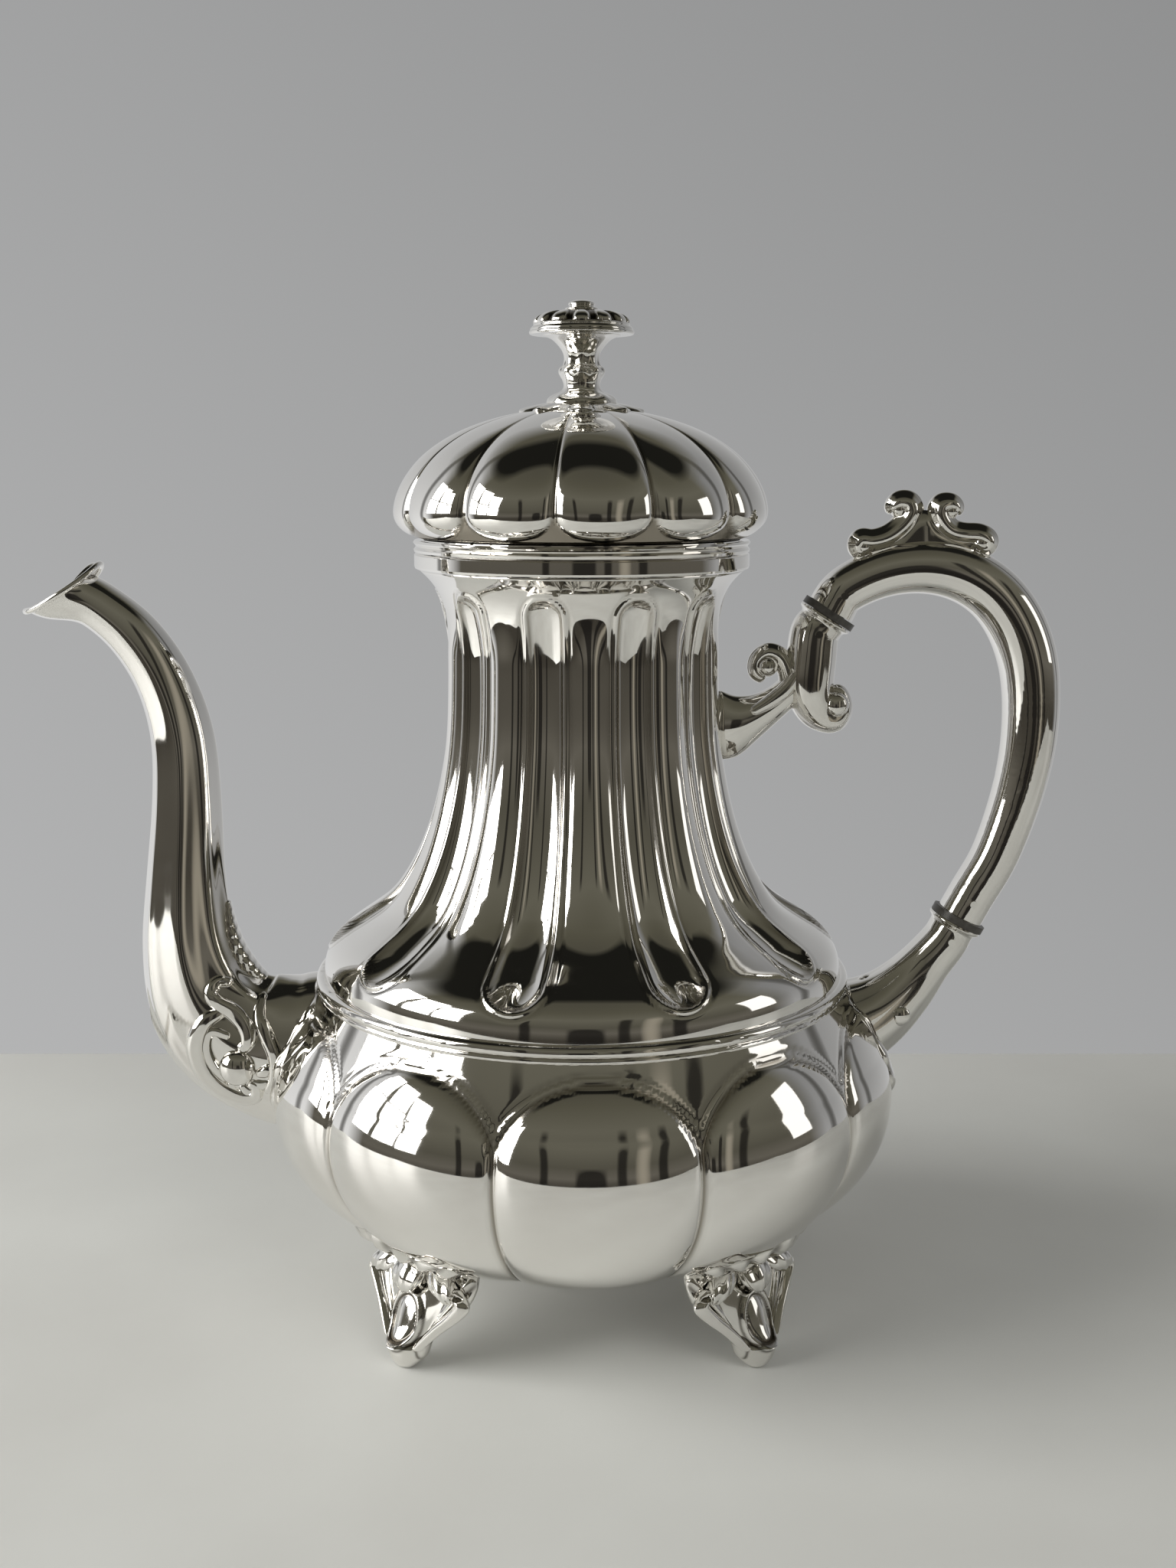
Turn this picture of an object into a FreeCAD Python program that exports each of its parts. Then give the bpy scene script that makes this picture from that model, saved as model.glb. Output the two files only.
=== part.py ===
import FreeCAD, Part
import math
import os
from bisect import bisect_right
from FreeCAD import Vector

# Footed coffee pot with a long spout, an insulated handle and a lift-off lid.
# Millimetres, +Z up, table at Z = 0. The spout points to -X and the handle to +X.
# Every piece is modelled about the pot's own upright axis, then moved so the whole pot
# stands centred on its own bounding box.

# ---- driving dimensions ---------------------------------------------------
WALL = 1.2            # sheet thickness of bowl, neck, dome and spout

BOWL_LOBES = 10       # bulging panels round the bowl, flutes round the neck
PANEL_TURN = 3.0      # degrees those panels sit turned from the spout's plane
BOWL_FLOOR = 19.6     # height of the underside of the bowl
FLOOR_R = 33.8        # radius of the round opening the bottom plate closes
SHOULDER = 85.0       # height where bowl and neck meet
SHOULDER_R = 64.5     # radius where bowl and neck meet
BOWL_R = 78.6         # widest radius of the bowl, at a lobe's crest
LOBE_DEPTH = 4.0      # depth of the creases between the bowl's lobes

JOINT = 190.0         # height where the lid lifts away
RIM_R = 40.5          # radius of the band round the mouth
RIM_H = 4.0           # height of that band
RIM_LEDGE = 4.1       # width of the band, from its outside to the mouth's bore
NECK_R = 33.3         # slimmest radius of the neck
NECK_EASE = 2.95      # how far the neck's top stands out from the mouth's bore
FLUTE_DEPTH = 1.7     # depth of the neck's hollow flutes
NECK_SEAM = 112.0     # height where the neck's flare meets its upper length

LID_GAP = 0.3         # air between lid and band
BEZEL_PLAY = 0.4      # radial air round the bezel
BEZEL_H = 5.5         # how far the bezel reaches down the mouth
LID_LOBES = 12        # panels round the dome
LID_TURN = 7.0        # degrees the dome sits turned in its seat
LID_CREASE = 1.4      # depth of the creases between the dome's panels
DOME_OUT = 4.8        # how far the dome bulges beyond the band
DOME_H = 34.0         # height of the dome above the joint
FINIAL_H = 25.2       # height of the finial above the dome
SCREW_R = 2.0         # radius of the screw that holds the finial

SPOUT_OUT = 57.4      # from the bowl's widest radius to the tip of the lip
LIP_HEIGHT = 181.4    # height of the middle of the lip
LIP_SLOPE = 32.0      # slope of the lip, in degrees
SPOUT_R = 8.6         # outside radius of the spout half way up
SPOUT_BORE = 6.0      # radius of the way through the bowl wall into the spout
SPOUT_SEAM = 108.0    # height where the spout's two lengths meet

HANDLE_OUT = 38.8     # from the bowl's widest radius to the outside of the handle
HANDLE_TOP = 186.5    # height of the middle of the grip's crown
GRIP_R = 5.8          # radius of the handle's tube at the insulators
DISC_LIP = 1.1        # how far an insulating disc stands out from the tube
DISC_T = 1.8          # thickness of the part of it that shows
SPIGOT_R = 3.8        # radius of the insulators' spigots, and of their sockets
SPIGOT_L = 8.0        # length of each spigot
PIN_R = 0.9           # radius of the pins through the spigots

FOOT_R = 55.0         # from the axis to the middle of each sole
FOOT_TURN = 45.0      # angle of the first foot from the front
LEAF_T = 1.1          # thickness of the leaf plates laid on the bowl

BORE_R = RIM_R - RIM_LEDGE
AXIS_X = (SPOUT_OUT - HANDLE_OUT) / 2.0

# ---- shapes of the walls -----------------------------------------------------
# along the wall, height share, weight of the floor radius, weight of the shoulder radius
# (the rest is the widest radius), share of the crease's depth
BOWL_SHAPE = [
    (0.00, 0.000, 1.000, 0.000, 0.00), (0.10, 0.020, 0.833, 0.000, 0.20), (0.20, 0.055, 0.658, 0.000, 0.48),
    (0.30, 0.105, 0.473, 0.000, 0.80), (0.40, 0.180, 0.299, 0.000, 1.05), (0.50, 0.280, 0.154, 0.000, 1.05),
    (0.60, 0.405, 0.049, 0.000, 0.98), (0.70, 0.540, 0.004, 0.000, 0.95), (0.80, 0.660, 0.000, 0.057, 0.98),
    (0.88, 0.770, 0.000, 0.250, 0.85), (0.94, 0.880, 0.000, 0.640, 0.25), (1.00, 1.000, 0.000, 1.000, 0.00),
]
# along the wall, height share, share of the way from the waist out to the shoulder, and to the top
NECK_SHAPE = [
    (0.00, 0.000, 1.000, 0.00), (0.06, 0.035, 0.995, 0.00), (0.12, 0.072, 0.965, 0.00), (0.19, 0.110, 0.860, 0.00),
    (0.26, 0.150, 0.670, 0.00), (0.33, 0.188, 0.505, 0.00), (0.41, 0.245, 0.365, 0.00), (0.50, 0.330, 0.225, 0.00),
    (0.60, 0.440, 0.110, 0.00), (0.70, 0.570, 0.030, 0.00), (0.80, 0.700, 0.000, 0.00), (0.90, 0.850, 0.000, 0.19),
    (0.96, 0.950, 0.000, 0.583), (1.00, 1.000, 0.000, 1.00),
]
# along the wall, height share, share of the band's radius, share of the bulge, share of the crease
DOME_SHAPE = [
    (0.00, 0.090, 1.010, 0.00, 0.30), (0.08, 0.130, 1.000, 0.62, 0.95), (0.17, 0.210, 1.000, 0.96, 1.05),
    (0.27, 0.310, 1.000, 1.00, 1.00), (0.37, 0.430, 0.980, 0.94, 0.90), (0.47, 0.550, 0.940, 0.80, 0.80),
    (0.58, 0.680, 0.860, 0.67, 0.80), (0.69, 0.800, 0.730, 0.55, 0.65), (0.80, 0.890, 0.580, 0.40, 0.50),
    (0.90, 0.960, 0.400, 0.21, 0.25), (1.00, 1.000, 0.200, 0.00, 0.00),
]


# ---- small helpers ---------------------------------------------------------
def smooth(table, t, column):
    """Value at t of a curve eased through the rows of a table that starts with t."""
    ts = [row[0] for row in table]
    vs = [row[column] for row in table]
    last = len(ts) - 1
    i = max(0, min(last - 1, bisect_right(ts, t) - 1))

    def slope(k):
        a, b = max(k - 1, 0), min(k + 1, last)
        return (vs[b] - vs[a]) / (ts[b] - ts[a])

    h = ts[i + 1] - ts[i]
    s = (t - ts[i]) / h
    start = (2 * s + 1) * (1 - s) ** 2 * vs[i] + s * (1 - s) ** 2 * h * slope(i)
    end = s * s * (3 - 2 * s) * vs[i + 1] - s * s * (1 - s) * h * slope(i + 1)
    return start + end


def spread(first, last, count):
    """Evenly spaced values, both ends included."""
    return [first + (last - first) * i / (count - 1.0) for i in range(count)]


def polar(radius, angle, height):
    """Point about the pot's axis; the angle is in degrees from the front, towards the handle."""
    a = math.radians(angle)
    return Vector(radius * math.sin(a), -radius * math.cos(a), height)


def knots(count, degree):
    """Knots and multiplicities of an even spline that reaches its end points."""
    spans = count - degree
    return [float(i) for i in range(spans + 1)], [degree + 1] + [1] * (spans - 1) + [degree + 1]


def net(rows, degree=3):
    """Spline surface shaped by a grid of control points."""
    u_knots, u_mults = knots(len(rows), 3)
    v_knots, v_mults = knots(len(rows[0]), degree)
    surface = Part.BSplineSurface()
    surface.buildFromPolesMultsKnots(rows, u_mults, v_mults, u_knots, v_knots, False, False, 3, degree)
    return surface


def solid_of(faces):
    """Solid closed by these faces, turned right side out."""
    shell = Part.Shell(faces)
    shell.sewShape()
    solid = Part.Solid(shell)
    if solid.Volume < 0:
        solid.reverse()
    return solid


def turned(shape, angle):
    """Copy turned about the pot's axis."""
    copy = shape.copy()
    copy.rotate(Vector(0, 0, 0), Vector(0, 0, 1), angle)
    return copy


def revolved(profile):
    """Solid of revolution about the pot's axis from (radius, height) corners."""
    points = [Vector(r, 0, z) for r, z in profile]
    face = Part.Face(Part.makePolygon(points + [points[0]]))
    return face.revolve(Vector(0, 0, 0), Vector(0, 0, 1), 360)


def cylinder(radius, start, direction, length):
    return Part.makeCylinder(radius, length, start, direction)


def mirrored(shape):
    """Copy mirrored from the front half to the back half."""
    return shape.mirror(Vector(0, 0, 0), Vector(0, 1, 0))


# ---- walls built of equal panels round the axis -----------------------------
def panelled(strips, count, rows, turn=0.0):
    """Closed solid of equal panels; each strip gives (radius, angle, height) at (t, s)."""
    nets = []
    for strip, columns in strips:
        grid = [[polar(*strip(t, s)) for s in spread(0.0, 1.0, columns)] for t in rows]
        nets.append(net(grid, min(3, columns - 1)))
    faces, low, high = [], [], []
    for i in range(count):
        angle = turn + 360.0 * i / count
        for surface in nets:
            faces.append(turned(surface.toShape(), angle))
            low.append(turned(surface.uIso(0.0).toShape(), angle))
            high.append(turned(surface.uIso(float(len(rows) - 3)).toShape(), angle))
    caps = [Part.Face(Part.Wire(Part.__sortEdges__(edges))) for edges in (low, high)]
    return solid_of(faces + caps)


def inward(radius, height, t, inset):
    """(radius, height) of the wall at t, moved inset along the wall's own normal."""
    a, b = max(t - 0.01, 0.0), min(t + 0.01, 1.0)
    dr, dz = radius(b) - radius(a), height(b) - height(a)
    size = math.hypot(dr, dz)
    return radius(t) - inset * dz / size, height(t) + inset * dr / size


def bowl_radius(t):
    low, high = smooth(BOWL_SHAPE, t, 2), smooth(BOWL_SHAPE, t, 3)
    return low * FLOOR_R + high * SHOULDER_R + (1.0 - low - high) * BOWL_R


def bowl_height(t):
    return BOWL_FLOOR + (SHOULDER - BOWL_FLOOR) * smooth(BOWL_SHAPE, t, 1)


def bowl_solid(inset=0.0):
    """The bowl's outside, or the same shape moved inwards; each lobe has an arched top."""
    half = 180.0 / BOWL_LOBES
    arch_top, arch_foot = 0.93, 0.74

    def strip(t, s):
        crest, z = inward(bowl_radius, bowl_height, t, inset)
        across = 2.0 * s - 1.0
        rise = max(0.0, (t - arch_foot) / (arch_top - arch_foot))
        width = math.sqrt(max(0.05, 1.0 - rise * rise))
        bulge = math.sqrt(max(0.0, 1.0 - (across / width) ** 2))
        return crest - LOBE_DEPTH * smooth(BOWL_SHAPE, t, 4) * (1.0 - bulge), half * across, z

    return panelled([(strip, 9)], BOWL_LOBES, spread(0.0, 1.0, 26), PANEL_TURN)


def neck_wall(t, inset):
    """(radius, height) of the neck between its flutes."""
    top = BORE_R + NECK_EASE
    out = smooth(NECK_SHAPE, t, 2) * (SHOULDER_R - NECK_R) + smooth(NECK_SHAPE, t, 3) * (top - NECK_R)
    return NECK_R + out - inset, SHOULDER + (JOINT - RIM_H - SHOULDER) * smooth(NECK_SHAPE, t, 1)


def neck_flute(t):
    """Half angle and depth of a flute: a long hollow with a deep spoon at its foot."""
    width = smooth([(0, 3.0), (0.1, 6.2), (0.3, 7.6), (0.6, 7.2), (1, 6.2)], t, 1)
    depth = smooth([(0, 0), (0.10, 0), (0.17, 1.5), (0.26, 1.3), (0.5, 0.8), (0.8, 0.9), (0.92, 0.7),
                    (0.96, 0), (1, 0)], t, 1)
    return width * 10.0 / BOWL_LOBES, max(0.0, depth) * FLUTE_DEPTH


def neck_solid(inset=0.0):
    """The neck's outside, or the same shape moved inwards, with its hollow flutes."""
    half = 180.0 / BOWL_LOBES

    def hollow(t, s):
        (r, z), (width, depth) = neck_wall(t, inset), neck_flute(t)
        across = 2.0 * s - 1.0
        return r - depth * (1.0 - across * across), width * across, z

    def left_rib(t, s):
        (r, z), (width, _) = neck_wall(t, inset), neck_flute(t)
        return r, -half + (half - width) * s, z

    def right_rib(t, s):
        (r, z), (width, _) = neck_wall(t, inset), neck_flute(t)
        return r, width + (half - width) * s, z

    strips = [(left_rib, 4), (hollow, 7), (right_rib, 4)]
    return panelled(strips, BOWL_LOBES, spread(0.0, 1.0, 34), PANEL_TURN + half)


def dome_radius(t):
    return smooth(DOME_SHAPE, t, 2) * RIM_R + smooth(DOME_SHAPE, t, 3) * DOME_OUT


def dome_height(t):
    return JOINT + DOME_H * smooth(DOME_SHAPE, t, 1)


def dome_solid(inset=0.0):
    """The lid's lobed dome, or the same shape moved inwards."""
    half = 180.0 / LID_LOBES

    def strip(t, s):
        crest, z = inward(dome_radius, dome_height, t, inset)
        across = 2.0 * s - 1.0
        crease = LID_CREASE * smooth(DOME_SHAPE, t, 4) * (1.0 - math.sqrt(max(0.0, 1.0 - across ** 2)))
        return crest - crease, half * across, z

    return panelled([(strip, 7)], LID_LOBES, spread(0.0, 1.0, 20), LID_TURN)


# ---- tubes that lie in the upright plane through spout and handle ------------
def tube(stations, rings=24, mouth=None):
    """Tube through (x, z, half depth, half width, sideways) stations, with flat ends.

    mouth is the slope in degrees of the last ring, if it isn't square to the tube.
    """
    table = timed(stations)
    root = math.sqrt(0.5)
    corners = [(1, 0, 1), (1, 1, root), (0, 1, 1), (-1, 1, root), (-1, 0, 1),
               (-1, -1, root), (0, -1, 1), (1, -1, root), (1, 0, 1)]
    poles, weights = [], []
    for t in spread(0.0, 1.0, rings):
        x, z, depth, width, y = [smooth(table, t, c) for c in (1, 2, 3, 4, 5)]
        a, b = max(t - 0.01, 0.0), min(t + 0.01, 1.0)
        run = Vector(smooth(table, b, 1) - smooth(table, a, 1), 0, smooth(table, b, 2) - smooth(table, a, 2))
        run.normalize()
        side = Vector(run.z, 0, -run.x)
        if mouth is not None and t == 1.0:
            slope = math.radians(mouth)
            side = Vector(math.cos(slope), 0, math.sin(slope))
        poles.append([Vector(x, y + p[1] * width, z) + side * (p[0] * depth) for p in corners])
        weights.append([p[2] for p in corners])
    u_knots, u_mults = knots(rings, 3)
    surface = Part.BSplineSurface()
    surface.buildFromPolesMultsKnots(
        poles, u_mults, [3, 2, 2, 2, 3], u_knots, [0.0, 1.0, 2.0, 3.0, 4.0], False, False, 3, 2, weights)
    ends = [Part.Face(Part.Wire([surface.uIso(u).toShape()])) for u in (0.0, u_knots[-1])]
    return solid_of([surface.toShape()] + ends)


def timed(stations):
    """Stations with an even parameter in front and a sideways place behind, nought if left out."""
    last = len(stations) - 1.0
    return [(i / last,) + tuple(row) + (0.0,) * (5 - len(row)) for i, row in enumerate(stations)]


def rod(stations, rings=24):
    """Round tube through (x, z, radius, sideways) stations."""
    return tube([(row[0], row[1], row[2], row[2]) + tuple(row[3:]) for row in stations], rings)


def ball(x, z, radius, y=0.0):
    return Part.makeSphere(radius, Vector(x, y, z))


# ---- places on the spout and the handle ----------------------------------------
def level(share, top):
    """Height at a share of the way up from the shoulder, or down to the floor if below nought."""
    return SHOULDER + share * ((top if share > 0 else 2 * SHOULDER - BOWL_FLOOR) - SHOULDER)


def on_spout(out, up):
    """(x, z) from shares of the spout's reach and of its height."""
    return -(BOWL_R + SPOUT_OUT * out), level(up, LIP_HEIGHT)


def on_handle(out, up):
    """(x, z) from shares of the handle's reach and of its height."""
    return BOWL_R + HANDLE_OUT * out, level(up, HANDLE_TOP)


# ---- bowl and neck ----------------------------------------------------------
def spout_stations(inset=0.0):
    """Spout from inside the bowl wall to the lip; inset gives its channel."""
    r = SPOUT_R - inset
    rows = [
        (-0.237, -0.321, 12.0, 5.6), (-0.063, -0.313, 10.6, 4.8), (0.146, -0.252, 8.6, 3.9),
        (0.294, -0.107, 6.0, 3.2), (0.359, 0.073, 3.0, 2.2), (0.362, 0.249, 1.0, 0.9),
        (0.345, 0.447, -0.2, 0.0), (0.352, 0.622, -0.9, -0.9), (0.422, 0.768, -1.6, -1.6),
        (0.540, 0.880, -2.1, -2.1), (0.679, 0.952, -2.6, -2.4), (0.767, 0.979, -2.0, -2.0),
        (0.833, 1.000, 1.9, -1.0)]
    return [on_spout(out, up) + (r + depth, r + width) for out, up, depth, width in rows]


def split_at(shape, height):
    """(lower, upper) lengths of a tube, parted on a level plane."""
    box = shape.BoundBox
    below = Part.makeBox(box.XLength + 20.0, box.YLength + 20.0, height - box.ZMin + 10.0,
                         Vector(box.XMin - 10.0, box.YMin - 10.0, box.ZMin - 10.0))
    return shape.common(below), shape.cut(below)


def spout_blank():
    """The spout's outside, before it is hollowed."""
    return tube(spout_stations(), 34, LIP_SLOPE)


def spout_tube(outside, bowl):
    rows = spout_stations(WALL)
    x0, z0, d0, w0 = rows[0]
    x1, z1, d1, w1 = rows[-1]
    rows = [(x0 + 6.0, z0, d0, w0)] + rows + [(x1 - 1.0, z1 + 1.8, d1, w1)]
    channel = tube(rows, 36, LIP_SLOPE)
    return outside.cut(channel).cut(bowl)


def spout_lip_wire():
    """Bead that stiffens the lip."""
    x, z, depth, width = spout_stations()[-1]
    slope = math.radians(LIP_SLOPE)
    run, normal = Vector(math.cos(slope), 0, math.sin(slope)), Vector(-math.sin(slope), 0, math.cos(slope))
    centre = Vector(x, 0, z)

    def oval(more):
        ellipse = Part.Ellipse(centre + run * (depth + more), centre + Vector(0, width + more, 0), centre)
        return Part.Face(Part.Wire([ellipse.toShape()])).extrude(normal * 1.2)

    return oval(0.7).cut(oval(0.2 - WALL))


def bowl_piece(outside):
    """The bowl's wall, pierced where the spout joins it."""
    x, z = on_spout(0.20, -0.26)
    mouth = cylinder(SHOULDER_R - WALL, Vector(0, 0, SHOULDER - 3.0), Vector(0, 0, 1), 4.0)
    shell = outside.cut(bowl_solid(WALL)).cut(mouth)
    return shell.cut(cylinder(SPOUT_BORE, Vector(x, 0, z), Vector(1, 0, 0), -x - FLOOR_R))


def bottom_plate():
    """Round plate that closes the underside of the bowl."""
    r, z = FLOOR_R + 1.5, BOWL_FLOOR
    return revolved([(0, z - 0.6), (r - 5, z - 0.6), (r - 4, z - 1.6), (r, z - 1.2), (r, z), (0, z + 0.6)])


def shoulder_wire():
    """Double bead where bowl and neck are joined."""
    r, z = SHOULDER_R, SHOULDER
    big = Part.makeTorus(r + 0.4, 1.5, Vector(0, 0, z + 0.4))
    small = Part.makeTorus(r + 0.8, 0.8, Vector(0, 0, z - 1.5))
    return big.fuse(small)


def rim_band():
    """Band round the mouth, with the bore the lid drops into."""
    r, top, low = RIM_R, JOINT, JOINT - RIM_H
    return revolved([
        (BORE_R, low), (r - 1.2, low), (r - 0.2, low + 0.4), (r, low + 0.9),
        (r, top - 0.4), (r - 0.4, top), (BORE_R, top)])


# ---- spout and handle ornaments ----------------------------------------------
def skin_patch(raised, bowl, x, z, half_y, half_z):
    """Leaf-shaped plate laid on the bowl about (x, z), seen along X; x says how far out it starts."""
    outline = []
    for i in range(24):
        a = math.radians(15.0 * i)
        r = 1.0 + 0.10 * math.cos(5 * a)
        outline.append(Vector(x, half_y * r * math.cos(a), z + half_z * r * math.sin(a)))
    prism = Part.Face(Part.makePolygon(outline + [outline[0]])).extrude(Vector(math.copysign(40.0, x), 0, 0))
    return raised.common(prism).cut(bowl)


def spout_side(x, z):
    """Half width of the spout's surface abreast of a point in its side view."""
    table = timed(spout_stations())
    near = min(spread(0.0, 1.0, 200), key=lambda t: math.hypot(
        smooth(table, t, 1) - x, smooth(table, t, 2) - z))
    away = math.hypot(smooth(table, near, 1) - x, smooth(table, near, 2) - z)
    return smooth(table, near, 4) * math.sqrt(max(0.0, 1.0 - (away / smooth(table, near, 3)) ** 2))


def laid_on(x, z, stations):
    """Stations of a wire laid on the front side of the spout, from offsets about (x, z)."""
    rows = [(x + dx, z + dz, r) for dx, dz, r in stations]
    return [row + (-spout_side(row[0], row[1]) - 0.4 * row[2],) for row in rows]


def spout_scroll():
    """C-scroll, S-scroll and boss laid on the front side of the spout's foot."""
    x, z = on_spout(0.122, -0.326)
    c_scroll = rod(laid_on(x, z, [
        (-4.4, 13.3, 1.3), (-8.0, 11.9, 1.6), (-10.3, 5.8, 1.9), (-8.8, -0.2, 2.0), (-4.8, -5.1, 1.9),
        (0.0, -8.1, 1.6), (3.6, -7.5, 1.4), (3.2, -4.7, 1.2)]), 26)
    s_scroll = rod(laid_on(x, z, [
        (-1.3, 20.3, 1.1), (-5.4, 19.9, 1.3), (-5.2, 16.9, 1.5), (-0.9, 13.7, 1.7), (2.2, 9.3, 1.6),
        (1.2, 6.1, 1.3)]), 20)
    boss = Part.makeSphere(5.0, Vector(x, 2.6 - spout_side(x, z), z))
    return c_scroll.fuse(s_scroll).fuse(boss)


def spout_leaf():
    """Strip of leaf and its end ball along the inner side of the spout."""
    rows = [(0.167, 0.156, 0.8), (0.164, 0.098, 1.5), (0.129, 0.037, 2.0), (0.070, -0.015, 1.7), (0.017, -0.052, 1.2)]
    strip = rod([on_spout(out, up) + (r,) for out, up, r in rows], 16)
    x, z = on_spout(0.003, -0.058)
    return strip.fuse(ball(x, z, 2.0))


# ---- handle -------------------------------------------------------------------
def handle_point(out, up):
    x, z = on_handle(out, up)
    return Vector(x, 0, z)


UPPER_DISC = handle_point(-0.474, 0.888)      # middle of the upper insulator
UPPER_RUN = Vector(0.54, 0, 0.842)            # its direction, towards the grip
LOWER_DISC = handle_point(0.412, 0.134)       # middle of the lower insulator
LOWER_RUN = Vector(0.464, 0, 0.886)           # its direction, towards the grip
DISC_R = GRIP_R + DISC_LIP


def along(point, run, distance):
    """(x, z) of a point some way along a direction."""
    spot = point + run * distance
    return spot.x, spot.z


def on_handle_rows(rows):
    """Round stations from (share of reach, share of height, radius beyond the grip's)."""
    return [on_handle(out, up) + (GRIP_R + more,) for out, up, more in rows]


def grip_solid():
    """Main curve of the handle between the two insulators."""
    half = DISC_T / 2.0
    start = [along(UPPER_DISC, UPPER_RUN, d) + (GRIP_R,) for d in (half, half + 5.5)]
    bend = on_handle_rows([
        (-0.160, 0.984, 0.3), (0.093, 1.000, 0.7), (0.335, 0.985, 1.0), (0.541, 0.940, 1.2), (0.691, 0.870, 1.4),
        (0.784, 0.783, 1.4), (0.820, 0.690, 1.2), (0.820, 0.591, 1.0), (0.789, 0.498, 0.7), (0.727, 0.399, 0.4),
        (0.626, 0.286, 0.1)])
    end = [along(LOWER_DISC, LOWER_RUN, d) + (GRIP_R,) for d in (half + 7.0, half)]
    return rod(start + bend + end, 44)


def bored(shape, disc, run):
    """Shape with the socket for one insulator's spigot."""
    length = SPIGOT_L + DISC_T / 2.0
    return shape.cut(cylinder(SPIGOT_R, disc - run * length, run, 2.0 * length))


def insulator(disc, run):
    """Insulating disc with a spigot each way."""
    plate = cylinder(DISC_R, disc - run * (DISC_T / 2.0), run, DISC_T)
    length = SPIGOT_L + DISC_T / 2.0
    return plate.fuse(cylinder(SPIGOT_R, disc - run * length, run, 2.0 * length))


def pin_at(disc, run, distance):
    """Pin through a spigot, with a low head showing on each side."""
    spot = disc + run * distance
    length = 2.0 * (GRIP_R + 0.5)
    return cylinder(PIN_R, spot - Vector(0, length / 2.0, 0), Vector(0, 1, 0), length)


def pins(disc, run):
    return [pin_at(disc, run, d) for d in (DISC_T / 2.0 + 4.6, -DISC_T / 2.0 - 4.6)]


def drilled(shape, holes):
    for hole in holes:
        shape = shape.cut(hole)
    return shape


def upper_socket():
    """Sleeve under the upper insulator, ending in a curl."""
    start = [along(UPPER_DISC, UPPER_RUN, -d) + (GRIP_R,) for d in (DISC_T / 2.0, 6.0)]
    sleeve = rod(start + on_handle_rows([
        (-0.572, 0.776, 0.0), (-0.582, 0.714, -0.2), (-0.546, 0.666, -0.8), (-0.464, 0.638, -1.8),
        (-0.397, 0.644, -2.8)]), 24)
    x, z = on_handle(-0.418, 0.656)
    return sleeve.fuse(ball(x, z, GRIP_R - 0.5))


def upper_bracket(neck):
    """Arm from the neck to the sleeve, with a curl standing on it."""
    x, z = on_handle(-0.634, 0.729)
    root = NECK_R - 3.3
    rows = [(0.0, -11.5, 12.0, 4.4), (0.21, -11.4, 9.6, 4.2), (0.42, -10.0, 6.4, 4.0), (0.65, -7.2, 4.4, 3.8),
            (0.85, -3.6, 3.6, 3.6), (1.0, 0.0, 3.0, 3.4)]
    arm = tube([(root + (x - root) * s, z + dz, depth, width) for s, dz, depth, width in rows], 16)
    spiral = rod([(x + dx, z + dz, r) for dx, dz, r in [
        (-2.6, -3.4, 2.4), (-3.2, 0.6, 2.2), (-4.6, 4.6, 2.0), (-7.6, 6.6, 1.9), (-10.6, 4.8, 1.7),
        (-10.4, 1.6, 1.5)]], 20)
    return arm.fuse(spiral).fuse(ball(x - 7.6, z + 2.8, 2.6)).cut(neck)


def lower_socket(bowl):
    """Flared sleeve from the lower insulator to the bowl."""
    r = GRIP_R
    start = [along(LOWER_DISC, LOWER_RUN, -d) + (r, r) for d in (DISC_T / 2.0, 6.0)]
    rows = [(0.222, 0.022, 0.5, 0.2), (0.088, -0.064, 1.6, 1.0), (-0.077, -0.153, 3.4, 2.6), (-0.273, -0.220, 5.6, 4.4)]
    sleeve = tube(start + [on_handle(out, up) + (r + depth, r + width) for out, up, depth, width in rows], 22)
    x, z = on_handle(-0.160, -0.061)
    return sleeve.fuse(ball(x, z, 2.2)).cut(bowl)


def thumb_scroll(grip):
    """Pair of C-scrolls on a thin web along the top of the grip."""
    x, z = on_handle(0.093, 1.0)

    def about(rows):
        return [(x + row[0], z + row[1]) + tuple(row[2:]) for row in rows]

    web = [Vector(a, -1.2, b) for a, b in about([
        (-14.2, -0.5), (-11.8, 3.9), (-4.7, 8.5), (-0.6, 13.3), (2.2, 13.3), (4.2, 9.1), (8.8, 6.7), (16.2, 3.9),
        (17.4, -2.5), (1.8, -2.5), (-14.2, -0.5)])]
    shape = Part.Face(Part.makePolygon(web)).extrude(Vector(0, 2.4, 0))
    shape = shape.fuse(rod(about([
        (-15.4, 5.9, 1.6), (-12.8, 4.9, 2.2), (-8.2, 6.9, 2.1), (-3.7, 10.1, 2.0), (-1.2, 13.4, 2.2),
        (-3.0, 15.9, 2.3), (-5.6, 15.1, 1.9)]), 22))
    shape = shape.fuse(rod(about([
        (16.8, 5.5, 1.6), (14.4, 7.7, 2.0), (10.4, 7.1, 2.0), (5.8, 8.1, 1.9), (2.8, 12.1, 2.0),
        (4.4, 15.7, 2.2), (7.2, 14.9, 1.9)]), 22))
    for a, b, r in about([(-15.2, 4.7, 3.1), (-5.0, 14.7, 3.1), (6.6, 14.3, 2.9), (15.4, 5.9, 3.1)]):
        shape = shape.fuse(ball(a, b, r))
    return shape.cut(grip)


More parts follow.
